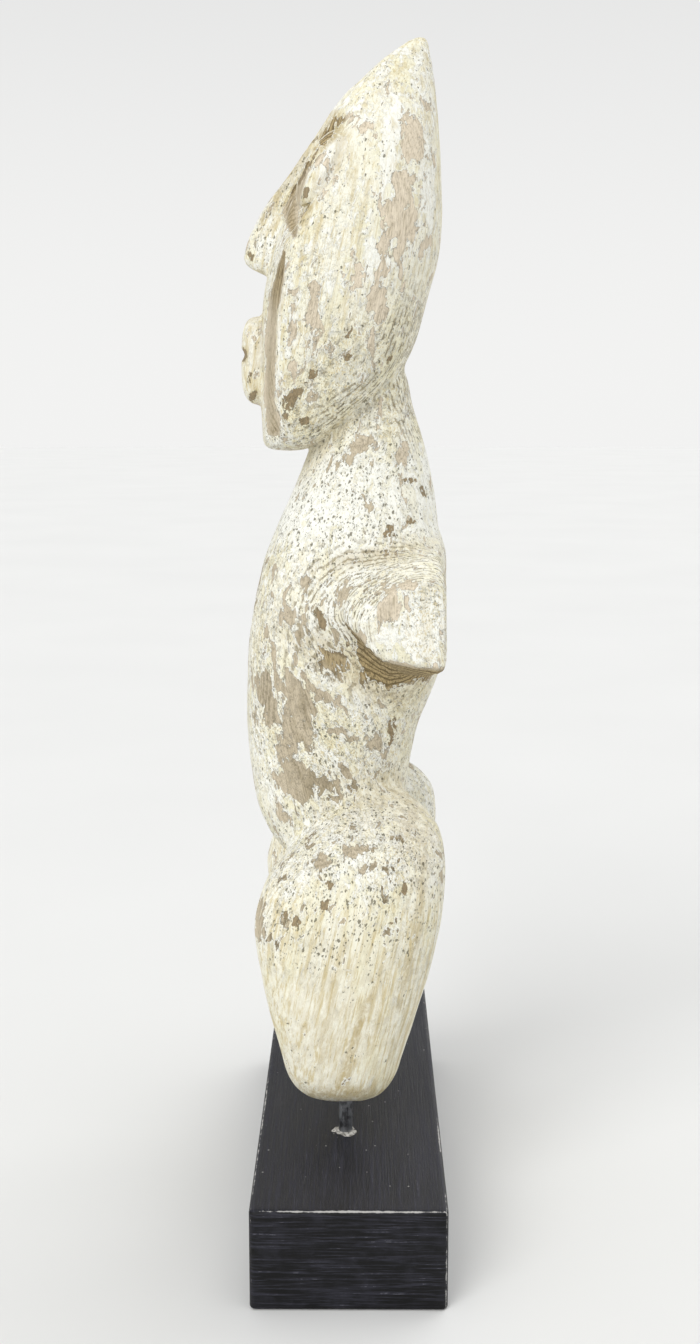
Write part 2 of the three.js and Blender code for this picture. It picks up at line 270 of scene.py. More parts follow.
def make_piece(
    name: str, points: Array, faces: Array, attributes: dict[str, Array] | None = None
) -> bpy.types.Object:
    """Makes a smooth mesh object with its place in its mesh.

    Args:
        name: the piece's name.
        points: rows of x, y and z in metres.
        faces: rows of point numbers, facing outwards.
        attributes: numbers for each point, by the name that a material reads.

    Returns:
        The new object, linked into the scene.
    """
    mesh = bpy.data.meshes.new(name)
    mesh.vertices.add(len(points))
    mesh.vertices.foreach_set("co", points.astype(np.float32).ravel())
    mesh.loops.add(faces.size)
    mesh.loops.foreach_set("vertex_index", faces.astype(np.int32).ravel())
    mesh.polygons.add(len(faces))
    mesh.polygons.foreach_set("loop_start", np.arange(0, faces.size, faces.shape[1], dtype=np.int32))
    mesh.polygons.foreach_set("use_smooth", np.ones(len(faces), bool))
    mesh.update(calc_edges=True)
    mesh.validate()
    for label, values in (attributes or {}).items():
        mesh.attributes.new(label, "FLOAT", "POINT").data.foreach_set("value", values.astype(np.float32))
    piece = bpy.data.objects.new(name, mesh)
    bpy.context.scene.collection.objects.link(piece)
    return piece


def tube_grid(rings: Array) -> tuple[Array, Array]:
    """Joins rings of points, from the lowest to the highest, into a skin that is open at its two ends.

    Args:
        rings: an array of rings × points × 3, each ring counterclockwise as seen from past the last ring.

    Returns:
        The points, and the quads between the rings as rows of four point numbers, facing outwards.
    """
    count, sides = rings.shape[:2]
    here = np.arange(count * sides).reshape(count, sides)
    there = np.roll(here, -1, axis=1)
    walls = np.stack([here[:-1], there[:-1], there[1:], here[1:]], axis=-1).reshape(-1, 4)
    return rings.reshape(-1, 3), walls


# The photograph's camera


@dataclass(frozen=True)
class PhotoCamera:
    """The camera that took the photograph, on the figure's left side, looking along -X and a little down."""

    place: tuple[float, float, float] = (0.7168, 0.0042, 0.3616)
    pitch: float = math.radians(9.65)
    yaw: float = math.radians(0.353)
    focal: float = 1600.0  # in pixels of the photograph
    sensor: float = 36.0

    def axes(self) -> Array:
        """Right, up and forward of the camera, as rows."""
        level = np.array([-math.cos(self.yaw), -math.sin(self.yaw), 0])
        right = np.array([-math.sin(self.yaw), math.cos(self.yaw), 0])
        forward = level * math.cos(self.pitch) - np.array([0, 0, math.sin(self.pitch)])
        return np.stack([right, np.cross(right, forward), forward])

    def pixels(self, points: Array) -> Array:
        """Where points show in the photograph: the offset along right and up, over the depth, in pixels."""
        right, up, depth = (self.axes() @ (points - np.array(self.place)).T)
        across = PHOTO_WIDTH / 2 + self.focal * right / depth
        down = PHOTO_HEIGHT / 2 - self.focal * up / depth
        return np.stack([across, down], axis=1)

    def make(self) -> None:
        """Puts the scene's camera there, with the frame of the photograph."""
        camera = bpy.data.cameras.new("camera")
        camera.sensor_width = self.sensor
        camera.lens = self.focal / PHOTO_HEIGHT * self.sensor
        camera.clip_start = 0.01
        camera.clip_end = 50
        placed = bpy.data.objects.new("camera", camera)
        right, up, forward = self.axes()
        turn = Matrix(np.stack([right, up, -forward], axis=1).tolist()).to_4x4()
        placed.matrix_world = Matrix.Translation(Vector(self.place)) @ turn
        bpy.context.scene.collection.objects.link(placed)
        bpy.context.scene.camera = placed


# Marks on the paint


class Wear(Enum):
    """What a mark on the painted wood shows. Each value is the name of the attribute that carries it."""

    BARE = "bare"
    CHIP = "chip"
    WHITE = "white"
    # The stain kind also carries painted shade: under the brow, under the arms, in the mouth's slit and in
    # hollows.
    STAIN_AND_SHADE = "stain"


@dataclass(frozen=True)
class Mark:
    """A worn or stained place on the figure's left side, or a place of painted shade, where the photograph
    shows it, in its pixels.
    """

    kind: Wear
    across: float
    down: float
    half_across: float
    half_down: float
    lean: float = 0.0  # degrees, the top to the right
    strength: float = 1.0
    both_sides: bool = False  # laid on the figure's other side too

    def cover(self, pixels: Array) -> Array:
        """How much a mark covers: 1 in its middle, a half on its oval outline, and 0 at 1.9 times its
        size."""
        x, y = pixels[:, 0] - self.across, pixels[:, 1] - self.down
        turn = math.radians(self.lean)
        wide = math.cos(turn) * x + math.sin(turn) * y
        tall = math.cos(turn) * y - math.sin(turn) * x
        reach = np.hypot(wide / self.half_across, tall / self.half_down)
        return self.strength * ease(-reach, -1.9, -0.1)


@dataclass(frozen=True)
class Stroke:
    """A long worn or stained mark, or a long mark of painted shadow, that runs down the photograph, given as
    places (across, down, half width)."""

    kind: Wear
    path: tuple[tuple[float, float, float], ...]
    strength: float = 1.0
    both_sides: bool = False  # laid on the figure's other side too

    def cover(self, pixels: Array) -> Array:
        """How much the stroke covers: 1 on its line, a half at its edge, and 0 at 1.6 times its half
        width."""
        across, down, half = np.array(self.path).T
        middle = np.interp(pixels[:, 1], down, across)
        width = np.interp(pixels[:, 1], down, half)
        past = np.maximum(down[0] - pixels[:, 1], pixels[:, 1] - down[-1])
        reach = np.hypot((pixels[:, 0] - middle) / width, np.maximum(past, 0) / width)
        return self.strength * ease(-reach, -1.6, -0.4)


def marks(kind: Wear, *places: tuple[float, ...]) -> tuple[Mark, ...]:
    """Marks of one kind, each given as across, down, half_across, half_down, lean and strength, in the order
    of a Mark's fields. The last two may be left out."""
    return tuple(Mark(kind, *place) for place in places)


FACE_STROKES = (
    # The bare strip down the edge of the face, and the ridge of paint behind it
    Stroke(
        Wear.BARE,
        ((283, 252, 1.6), (276, 290, 5), (271, 317, 4.6), (270, 355, 4.2), (269, 400, 4), (273, 430, 5)),
        2.2, True,
    ),
    Stroke(Wear.WHITE, ((285, 262, 1.5), (279, 320, 1.5), (276, 380, 1.5), (280, 425, 1.5)), 1.4, True),
    Stroke(
        Wear.STAIN_AND_SHADE, ((284, 250, 2), (276, 290, 6), (270, 355, 5), (269, 400, 4.5), (273, 430, 6)), 0.7, True
    ),
    # The bare wall of the eye socket, the stain and painted shadow under the brow, the white eyeball and its
    # bare corner, which is also painted shadow under the eyeball
    Stroke(
        Wear.BARE, ((305, 173, 1.2), (297, 190, 4), (290, 212, 6), (292, 224, 5), (294, 235, 1.5)), 2.4, True
    ),
    Stroke(
        Wear.STAIN_AND_SHADE, ((305, 173, 1.5), (297, 190, 5), (290, 212, 7), (292, 224, 6), (294, 235, 2)), 0.7, True
    ),
    # Painted shadow under the overhanging brow, laid as stain over the socket's upper wall, with some real
    # stain
    Stroke(
        Wear.STAIN_AND_SHADE, ((338, 118, 7), (330, 132, 10), (321, 146, 7), (303, 172, 2), (284, 205, 2)), 1.3, True
    ),
    Stroke(Wear.BARE, ((335, 122, 5), (329, 132, 5), (322, 143, 3)), 0.9, True),
    Stroke(Wear.STAIN_AND_SHADE, ((330, 112, 4), (306, 150, 5), (280, 192, 5), (262, 225, 3)), 0.6, True),
    Stroke(Wear.CHIP, ((322, 142, 1.2), (303, 174, 1.2), (284, 207, 1.2)), 0.8, True),
    Stroke(Wear.WHITE, ((337, 148, 9), (328, 166, 10), (318, 186, 7)), 1.3, True),
    # The eyeball's dark lower corner: chipped wood and painted shadow under the eyeball
    Stroke(Wear.CHIP, ((306, 190, 4), (303, 200, 2.5)), 1.1, True),
    Stroke(Wear.WHITE, ((300, 204, 1.5), (299, 224, 1.5)), 1.2, True),
    Stroke(Wear.STAIN_AND_SHADE, ((309, 206, 3), (301, 222, 4)), 0.9, True),
    # Where the nose has lost its paint along the ridge
    Stroke(Wear.BARE, ((274, 203, 1), (267, 214, 2.5), (262, 228, 1)), 0.9),
    Stroke(Wear.STAIN_AND_SHADE, ((276, 200, 2), (267, 216, 4), (256, 240, 2)), 0.4),
)
HEAD_MARKS = (
    *marks(
        Wear.BARE,
        (411, 138, 10, 30, 3), (407, 182, 13, 20, 10), (398, 222, 17, 26, 12), (428, 243, 5, 15, 35),
        (350, 119, 9, 9), (313, 301, 5, 20), (293, 322, 4, 13), (292, 365, 5, 7), (354, 284, 5, 16, 15),
        (378, 303, 16, 14, 20, 0.8), (398, 290, 6, 20, 25, 0.7),
    ),
    *marks(
        Wear.CHIP,
        (350, 331, 6, 8, 10), (347, 357, 9, 3.5, -35), (293, 399, 7, 15, 35), (288, 415, 6, 5, 0, 0.9),
        (312, 375, 5, 10, 40, 0.8), (389, 358, 8, 3, -30, 0.8), (302, 421, 9, 5, 20, 0.8), (250, 257, 3, 5),
        (249, 378, 3, 10), (252, 396, 4, 5),
    ),
    *marks(
        Wear.WHITE,
        (391, 140, 8, 42, 8, 1.3), (268, 235, 10, 22, 20), (380, 255, 18, 20, 0, 0.8),
        (255, 345, 8, 26, 0, 1.2), (428, 190, 6, 60, -2),
    ),
)
BODY_MARKS = (
    *marks(
        Wear.BARE,
        (360, 447, 12, 8, -20), (400, 458, 5, 6), (350, 460, 5, 6), (286, 618, 9, 12), (304, 581, 8, 7),
        (267, 635, 4, 8), (361, 640, 6, 11, -30), (342, 600, 5, 10, 25, 0.9), (335, 632, 3, 14, -15, 0.8),
        (300, 640, 6, 9, -20, 0.8), (290, 702, 22, 38, -22), (268, 690, 9, 30, -5), (296, 738, 18, 20, -10),
        (300, 785, 24, 20), (280, 812, 8, 16, -25, 0.9), (322, 696, 7, 5), (340, 697, 5, 3),
        (331, 731, 11, 4), (356, 738, 5, 3), (387, 604, 13, 20, 30, 0.95), (412, 586, 15, 4, -5, 0.9),
        (377, 628, 4, 12, -5, 0.9),
    ),
    *marks(
        Wear.CHIP,
        (388, 532, 9, 10, 20, 0.9), (424, 491, 4, 7, -10), (410, 480, 7, 4), (411, 521, 6, 3, -20),
        (319, 618, 4, 13, -20), (391, 736, 4, 17, 8),
    ),
    *marks(
        Wear.WHITE,
        (423, 625, 21, 34, 0, 1.2), (387, 636, 10, 9, 0, 1.2), (347, 628, 5, 14, -5, 1.2),
        (329, 610, 5, 13, -10, 1.2), (367, 614, 10, 8, -40, 1.2), (375, 500, 40, 45, 0, 0.6),
    ),
)
LEG_MARKS = (
    *marks(
        Wear.BARE,
        (357, 850, 30, 6, -15, 0.8), (321, 861, 14, 6, -15, 0.9), (362, 868, 8, 9, 0, 0.7),
        (259, 912, 5, 26, 0, 0.9),
    ),
    *marks(
        Wear.CHIP,
        (330, 884, 6, 5), (325, 904, 7, 8, 20), (405, 892, 4, 9), (286, 915, 4, 5), (296, 922, 4, 6),
        (390, 923, 5, 3),
    ),
    *marks(
        Wear.STAIN_AND_SHADE,
        (350, 1020, 60, 80, 0, 0.4), (415, 830, 18, 44, -10, 0.6), (375, 800, 55, 26, 5, 0.3),
        # The mark at (347, 668) is painted shade along the underside of the arm, laid as stain.
        (345, 1093, 45, 7, 0, 0.9), (347, 668, 60, 13, 32, 0.9), (375, 556, 50, 8, -12, 0.7),
    ),
    # Ochre streaks down the lower leg
    Stroke(Wear.STAIN_AND_SHADE, ((374, 980, 3), (358, 1030, 5), (343, 1086, 8)), 0.9),
    Stroke(Wear.STAIN_AND_SHADE, ((346, 940, 2), (330, 1000, 4), (320, 1060, 5)), 0.6),
    Stroke(Wear.STAIN_AND_SHADE, ((424, 850, 5), (418, 930, 6), (398, 1010, 4)), 0.6),
)


# Node helpers

Socket = bpy.types.NodeSocket
Value = Socket | float | Sequence[float]


class Wiring:
    """Adds nodes to a tree and joins them up."""

    def __init__(self, tree: bpy.types.NodeTree) -> None:
        """Starts on an emptied tree."""
        self.tree = tree
        tree.nodes.clear()

    def add(
        self, kind: str, inputs: dict[str | int, Value] | None = None, **settings: object
    ) -> bpy.types.Node:
        """Adds a node.

        Args:
            kind: the node type, without the word ShaderNode.
            inputs: what each input takes, another node's output or a plain value.
            settings: the node's own properties.
        """
        node = self.tree.nodes.new("ShaderNode" + kind)
        for name, value in settings.items():
            setattr(node, name, value)
        for name, value in (inputs or {}).items():
            self.feed(node.inputs[name], value)
        return node

    def feed(self, socket: Socket, value: Value) -> None:
        """Joins an output to an input, or sets the input's own value."""
        if isinstance(value, Socket):
            self.tree.links.new(value, socket)
        else:
            socket.default_value = value

    def sum(self, operation: str, *values: Value) -> Socket:
        """One step of arithmetic on numbers."""
        return self.add("Math", dict(enumerate(values)), operation=operation).outputs[0]

    def times(self, *values: Value) -> Socket:
        """Product of two or more numbers."""
        product = values[0]
        for value in values[1:]:
            product = self.sum("MULTIPLY", product, value)
        return product

    def swing(self, noise: Value) -> Socket:
        """How far a noise lies above or below its middle, 0.5."""
        return self.sum("SUBTRACT", noise, 0.5)

    def move(self, operation: str, *values: Value) -> Socket:
        """One step of arithmetic on places."""
        node = self.add("VectorMath", dict(enumerate(values)), operation=operation)
        return node.outputs["Value" if operation == "LENGTH" else "Vector"]

    def scaled(self, place: Value, scale: Value) -> Socket:
        """Place times a number."""
        return self.add("VectorMath", {0: place, "Scale": scale}, operation="SCALE").outputs["Vector"]

    def step(
        self, value: Value, low: Value, high: Value, to_low: float = 0.0, to_high: float = 1.0
    ) -> Socket:
        """Rises smoothly from to_low to to_high as value goes from low to high."""
        limits = {"Value": value, "From Min": low, "From Max": high, "To Min": to_low, "To Max": to_high}
        return self.add("MapRange", limits, interpolation_type="SMOOTHSTEP").outputs["Result"]

    def mix(self, share: Value, one: Value, other: Value) -> Socket:
        """Blends two colours."""
        node = self.add("Mix", data_type="RGBA")
        for place, value in ((0, share), (6, one), (7, other)):
            self.feed(node.inputs[place], value)
        return node.outputs[2]

    def lay(self, under: Value, over: Value, *shares: Value) -> Socket:
        """Lays one colour over another, as thickly as the product of the shares says."""
        return self.mix(self.times(*shares), under, over)

    def noise(
        self, place: Value, scale: Value, detail: float = 2.0, rough: float = 0.5, twist: float = 0.0
    ) -> Socket:
        """Cloudy noise about 0.5; scale is one over the clouds' size in the units of place."""
        inputs = {"Vector": place, "Scale": scale, "Detail": detail, "Roughness": rough, "Distortion": twist}
        return self.add("TexNoise", inputs).outputs[0]

    def cells(self, place: Value, scale: Value) -> tuple[Socket, Socket]:
        """Scattered cells: each cell's own random number, and the distance from its middle in cells."""
        cell = self.add("TexVoronoi", {"Vector": place, "Scale": scale}).outputs
        return self.add("SeparateColor", {0: cell["Color"]}).outputs[0], cell["Distance"]

    def squeezed(self, place: Value, shares: Sequence[float]) -> Socket:
        """Place with each axis multiplied, which stretches a pattern along an axis whose share is small."""
        return self.move("MULTIPLY", place, shares)

    def attribute(self, name: str) -> Socket:
        """A number that the mesh carries."""
        return self.add("Attribute", attribute_name=name).outputs["Fac"]

    def millimetres(self) -> Socket:
        """Object coordinates in millimetres."""
        return self.scaled(self.add("TexCoord").outputs["Object"], 1 / MM)

    def surface(
        self, inputs: dict[str, Value], height: Value | None = None, depth: float = MM, strength: float = 1.0
    ) -> None:
        """Ends the material with its surface.

        Args:
            inputs: what each input of the surface takes.
            height: the height that bumps the surface, 0 to 1, where there is one.
            depth: how many metres a height of 1 stands for.
            strength: how fully the bump turns the light.
        """
        shader = self.add("BsdfPrincipled", inputs)
        if height is not None:
            bump = self.add("Bump", {"Height": height, "Distance": depth, "Strength": strength})
            self.feed(shader.inputs["Normal"], bump.outputs[0])
        self.add("OutputMaterial", {0: shader.outputs[0]})


class Effect:
    """A shader node group that several finishes share."""

    def __init__(self, name: str, inputs: dict[str, float], outputs: Sequence[str]) -> None:
        """Makes the group's sockets. Every group reads a place in millimetres."""
        self.tree = bpy.data.node_groups.new(name, "ShaderNodeTree")
        self.tree.interface.new_socket("Place", in_out="INPUT", socket_type="NodeSocketVector")
        for label, value in inputs.items():
            socket = self.tree.interface.new_socket(label, in_out="INPUT", socket_type="NodeSocketFloat")
            socket.default_value = value
        for label in outputs:
            self.tree.interface.new_socket(label, in_out="OUTPUT", socket_type="NodeSocketFloat")
        self.wiring = Wiring(self.tree)
        self.given = self.tree.nodes.new("NodeGroupInput").outputs
        self.results = self.tree.nodes.new("NodeGroupOutput").inputs

    def give(self, **results: Socket) -> None:
        """Joins the results to the group's outputs."""
        for label, value in results.items():
            self.wiring.feed(self.results[label], value)

    def place(self, wiring: Wiring, place: Value, **values: Value) -> bpy.types.NodeOutputs:
        """Puts the group into a material and returns its outputs."""
        node = wiring.tree.nodes.new("ShaderNodeGroup")
        node.node_tree = self.tree
        wiring.feed(node.inputs["Place"], place)
        for label, value in values.items():
            wiring.feed(node.inputs[label], value)
        return node.outputs


class Effects:
    """The shared effects: wood grain, flaking paint, small pits and dust."""

    def __init__(self) -> None:
        """Builds each group once."""
        self.grain = self.make_grain()
        self.flaking = self.make_flaking()
        self.pits = self.make_pits()
        self.dust = self.make_dust()

    def make_grain(self) -> Effect:
        """Growth rings of a big trunk, and the fibres along it.

        Formula: the distance from the trunk's middle, which lies TRUNK_MIDDLE off along -X, is wavered by
        broad and fine noise and counted in rings; each ring darkens slowly and ends sharply. Fibres are
        fine noise drawn out along Z.
        """
        effect = Effect("wood grain", {"Spacing": 2.0, "Waver": 4.0, "Fibre": 0.8}, ["Rings", "Fibres"])
        w, given = effect.wiring, effect.given
        place = given["Place"]
        broad = w.noise(w.squeezed(place, (1, 1, 0.5)), 1 / 26, 2.0, 0.5)
        fine = w.noise(w.squeezed(place, (1, 1, 0.3)), 1 / 3, 3.0, 0.6)
        from_middle = w.move("ADD", place, (TRUNK_MIDDLE / MM, 0, 0))
        radius = w.move("LENGTH", w.squeezed(from_middle, (1, 1, 0)))
        radius = w.sum("MULTIPLY_ADD", w.swing(broad), given["Waver"], radius)
        radius = w.sum("MULTIPLY_ADD", w.swing(fine), 1.6, radius)
        turn = w.sum("FRACT", w.sum("DIVIDE", radius, given["Spacing"]))
        effect.give(Rings=w.times(w.step(turn, 0.3, 0.9), w.step(turn, 0.9, 1.0, 1.0, 0.0)))
        thread = w.squeezed(place, (1, 1, 0.06))
        size = w.add("CombineXYZ", {axis: given["Fibre"] for axis in range(3)}).outputs[0]
        effect.give(Fibres=w.noise(w.move("DIVIDE", thread, size), 1.0, 3.0, 0.6))
        return effect

    def make_flaking(self) -> Effect:
        """Paint lost in ragged patches.

        Formula: two sizes of ragged noise, drawn out along the grain, are added to the wanted cover; where
        the sum passes a half, the paint is gone. A thin line along that edge marks where a shadow of the
        paint's edge is painted, and Lip is the paint just outside.
        """
        effect = Effect("flaking", {"Cover": 0.3, "Size": 7.0, "Ragged": 4.0}, ["Bare", "Rim", "Lip"])
        w, given = effect.wiring, effect.given
        scale = w.sum("DIVIDE", 1.0, given["Size"])
        place = w.squeezed(given["Place"], (1, 1, 0.55))
        fine = w.noise(place, scale, 6.0, 0.62, 0.4)
        broad = w.noise(w.move("ADD", place, (70, 0, 0)), w.times(scale, 0.35), 3.0, 0.5)
        both = w.sum("MULTIPLY_ADD", w.swing(broad), 0.6, w.swing(fine))
        level = w.sum("MULTIPLY_ADD", both, given["Ragged"], given["Cover"])
        near = w.sum("ABSOLUTE", w.swing(level))
        effect.give(Bare=w.step(level, 0.47, 0.53), Rim=w.step(near, 0.02, 0.07, 1.0, 0.0))
        effect.give(Lip=w.step(level, 0.24, 0.4))
        return effect

    def make_pits(self) -> Effect:
        """Small dark pits, more of them where Density is high.

        Formula: space is split into cells whose places are shaken by fine noise; a cell whose random number
        lies above a level that falls as Density grows has a pit about its middle. Broad noise gathers them.
        """
        effect = Effect("pits", {"Density": 0.5, "Size": 2.0}, ["Pits"])
        w, given = effect.wiring, effect.given
        place = w.squeezed(given["Place"], (1, 1, 0.65))
        scale = w.sum("DIVIDE", 1.0, given["Size"])
        shake = w.add("TexNoise", {"Vector": place, "Scale": w.times(scale, 1.6), "Detail": 2.0})
        shake = w.move("SUBTRACT", shake.outputs["Color"], (0.5, 0.5, 0.5))
        shaken = w.move("ADD", place, w.scaled(shake, w.times(given["Size"], 1.1)))
        chance, distance = w.cells(shaken, scale)
        cluster = w.noise(given["Place"], 1 / 11, 3.0, 0.55)
        wanted = w.sum("MULTIPLY_ADD", w.swing(cluster), 1.6, given["Density"])
        level = w.sum("MULTIPLY_ADD", wanted, -0.55, 1.0)
        radius = w.step(chance, level, w.sum("ADD", level, 0.25), 0.0, 0.36)
        effect.give(Pits=w.step(w.sum("SUBTRACT", radius, distance), 0.0, 0.09))
        return effect

    def make_dust(self) -> Effect:
        """Sparse pale specks: the middles of some cells of a scattered pattern."""
        effect = Effect("dust", {"Amount": 0.5, "Size": 5.0}, ["Dust"])
        w, given = effect.wiring, effect.given
        chance, distance = w.cells(given["Place"], w.sum("DIVIDE", 1.0, given["Size"]))
        radius = w.times(w.step(chance, 0.72, 0.95), given["Amount"], 0.16)
        effect.give(Dust=w.step(w.sum("SUBTRACT", radius, distance), 0.0, 0.03))
        return effect


# Finishes


def new_material(name: str) -> tuple[bpy.types.Material, Wiring]:
    """An empty node material and its wiring."""
    material = bpy.data.materials.new(name)
    material.use_nodes = True
    return material, Wiring(material.node_tree)


@dataclass(frozen=True)
class Whitewash:
    """Thick old whitewash on open-grained wood: cream and chalky, stained and given painted shade in its
    creases, and flaked in places."""

    effects: Effects
    cream: Colour = tint(249, 247, 231)
    yellow: Colour = tint(244, 240, 214)
    thick: Colour = tint(253, 253, 244)
    ochre: Colour = tint(212, 196, 150)
    grey: Colour = tint(210, 208, 194)
    # Laid where the wood is stained, and also as painted shade in hollows, under the brow and the arms, and
    # between the lips
    stain: Colour = tint(188, 168, 118)
    bare: Colour = tint(233, 220, 197)
    dark_bare: Colour = tint(182, 169, 142)
    late_wood: Colour = tint(165, 152, 124)
    # Laid on stained, weathered wood, and so also as painted shade under the arms and the brow
    golden_stain_and_shade: Colour = tint(186, 162, 112)
    pit: Colour = tint(118, 113, 93)
    chipped: Colour = tint(160, 142, 112)
    # Darkens the bare wood's deep lines, and is also the painted shadow along the edges of flakes and chips
    deep_line_and_shadow: Colour = tint(104, 90, 62)

    def make(self) -> bpy.types.Material:
        """Builds the material: the paint, then the wood where flakes and chips are gone, and a thin painted
        shadow along their edges.

        Formula: bright lips of thick paint stand around each flake. The heights of all layers, each times its
        own lift, add up to one bump.
        """
        material, w = new_material("whitewash")
        straight = w.millimetres()
        shift = w.add("CombineXYZ", {1: w.attribute("grain_shift")}).outputs[0]
        place = w.move("SUBTRACT", straight, shift)
        grain = self.effects.grain.place(w, place, Spacing=1.7, Waver=5.0, Fibre=0.6)
        flakes, chips = (
            self.effects.flaking.place(w, place, Cover=w.attribute(kind.value), Size=size, Ragged=ragged)
            for kind, size, ragged in ((Wear.BARE, 4.5, 4.0), (Wear.CHIP, 2.2, 3.4))
        )
        blotch = w.noise(w.squeezed(place, (1, 1, 0.6)), 1 / 4, 6.0, 0.65, 0.5)
        threads = w.step(grain["Fibres"], 0.48, 0.64)

        colour, heights = self.paint(w, straight, place, grain, blotch)
        colour = w.lay(colour, self.thick, flakes["Lip"], w.step(blotch, 0.4, 0.52, 0.15, 0.8))
        colour = w.mix(flakes["Bare"], colour, self.wood(w, grain, threads))
        colour = w.mix(chips["Bare"], colour, w.lay(self.chipped, self.pit, threads, 0.6))
        # Painted shadow: a thin dark line along the edges of flakes and chips, where the paint's thickness
        # would shade
        colour = w.lay(colour, self.deep_line_and_shadow, w.sum("MAXIMUM", flakes["Rim"], chips["Rim"]), 0.3)

        lost = w.sum("MAXIMUM", flakes["Bare"], chips["Bare"])
        height = w.times(lost, -0.35)
        for part, lift in (*heights, (grain["Fibres"], 0.2), (blotch, 0.35)):
            height = w.sum("MULTIPLY_ADD", part, lift, height)
        rough = w.step(lost, 0.0, 1.0, 0.88, 0.72)
        w.surface({"Base Color": colour, "Roughness": rough, "Specular IOR Level": 0.25}, height, MM, 0.9)
        return material

    def paint(
        self, w: Wiring, straight: Socket, place: Socket, grain: bpy.types.NodeOutputs, blotch: Socket
    ) -> tuple[Socket, tuple[tuple[Socket, float], ...]]:
        """The paint's colour, and the parts of its relief with the lift of each.

        Formula: broad noise yellows the cream; thick paint whitens it, streaks along the grain and mottling
        turn it ochre, blotches grey it, and stain and painted shade, in hollows, under the brow, under the
        arms and between the lips, brown it; growth rings, broken lines and pits darken it.

        Args:
            w: the material's wiring.
            straight: place in millimetres.
            place: the same, following the grain.
            grain: outputs of the wood grain.
            blotch: the ragged noise that the layers share.
        """
        streaks = w.noise(w.squeezed(place, (1, 1, 0.09)), 1 / 1.2, 5.0, 0.7, 0.2)
        long_streaks = w.noise(w.squeezed(place, (1, 1, 0.055)), 1 / 3.2, 4.0, 0.6)
        broad = w.noise(w.squeezed(place, (1, 1, 0.3)), 1 / 13, 4.0, 0.55)
        mottle = w.noise(w.squeezed(place, (1, 1, 0.7)), 1 / 1.2, 4.0, 0.6, 1.3)
        broken = w.step(w.noise(straight, 1 / 3, 3.0, 0.55), 0.42, 0.56)
        streaked, mottled = w.attribute("streaked"), w.attribute("mottled")

        colour = w.mix(w.step(broad, 0.45, 0.65), self.cream, self.yellow)
        white = w.step(w.sum("MULTIPLY_ADD", w.swing(blotch), 3.0, w.attribute(Wear.WHITE.value)), 0.4, 0.5)
        colour = w.mix(white, colour, self.thick)
        thin = w.step(white, 0.0, 1.0, 1.0, 0.4)
        colour = w.lay(colour, self.ochre, w.step(streaks, 0.5, 0.62), streaked, thin, 0.8)
        colour = w.lay(colour, self.ochre, w.step(long_streaks, 0.5, 0.68), streaked, 0.75)
        colour = w.lay(colour, self.grey, w.step(blotch, 0.45, 0.58), w.attribute("greyed"), 0.7)
        colour = w.lay(colour, self.ochre, w.step(mottle, 0.53, 0.6), mottled, 0.75)
        # The stain attribute also carries painted shade: in hollows, under the brow and the arms, and between
        # the lips.
        colour = w.lay(colour, self.stain, w.attribute(Wear.STAIN_AND_SHADE.value), w.step(blotch, 0.3, 0.6), 0.85)
        ringed = w.times(w.step(grain["Rings"], 0.3, 0.75), w.attribute("ringed"), broken)
        colour = w.lay(colour, self.late_wood, ringed, 0.85)

        crack = w.sum("ABSOLUTE", w.swing(w.noise(place, 1 / 2.0, 3.0, 0.6, 1.0)))
        crack = w.times(w.step(crack, 0.006, 0.026, 1.0, 0.0), broken, mottled)
        colour = w.lay(colour, self.pit, crack, 0.5)
        pits, specks = (
            self.effects.pits.place(w, place, Density=w.attribute("pitted"), Size=size)["Pits"]
            for size in (1.5, 0.8)
        )
        pitted = w.sum("MAXIMUM", pits, w.times(specks, 0.8))
        colour = w.lay(colour, self.pit, pitted, 0.85)
        heights = (
            (white, 0.15), (pitted, -0.35), (crack, -0.2), (streaks, -0.5), (ringed, -0.35), (mottle, -0.35),
        )
        return colour, heights

    def wood(self, w: Wiring, grain: bpy.types.NodeOutputs, threads: Socket) -> Socket:
        """The bare wood's colour.

        Formula: it greys and darkens as it is weathered, and where shade is painted under the arms; rings and
        fibres darken it, and where it is stained and weathered, and where shade is painted under the brow and
        the arms, it turns golden, with deep lines.
        """
        # Both attributes also carry painted shade: under the arms, under the brow, in the mouth's slit and in
        # hollows.
        tone, stained = w.attribute("weathered_and_shaded"), w.attribute(Wear.STAIN_AND_SHADE.value)
        wood = w.mix(tone, self.bare, self.dark_bare)
        darker = w.sum("MULTIPLY_ADD", grain["Rings"], 0.2, w.times(threads, 0.5))
        wood = w.mix(darker, wood, self.late_wood)
        wood = w.lay(wood, self.golden_stain_and_shade, stained, w.step(tone, 0.6, 1.0, 0.0, 0.7))
        lines = w.sum("MAXIMUM", threads, w.step(grain["Rings"], 0.2, 0.6))
        return w.lay(wood, self.deep_line_and_shadow, lines, w.step(tone, 0.5, 1.0), 0.8)


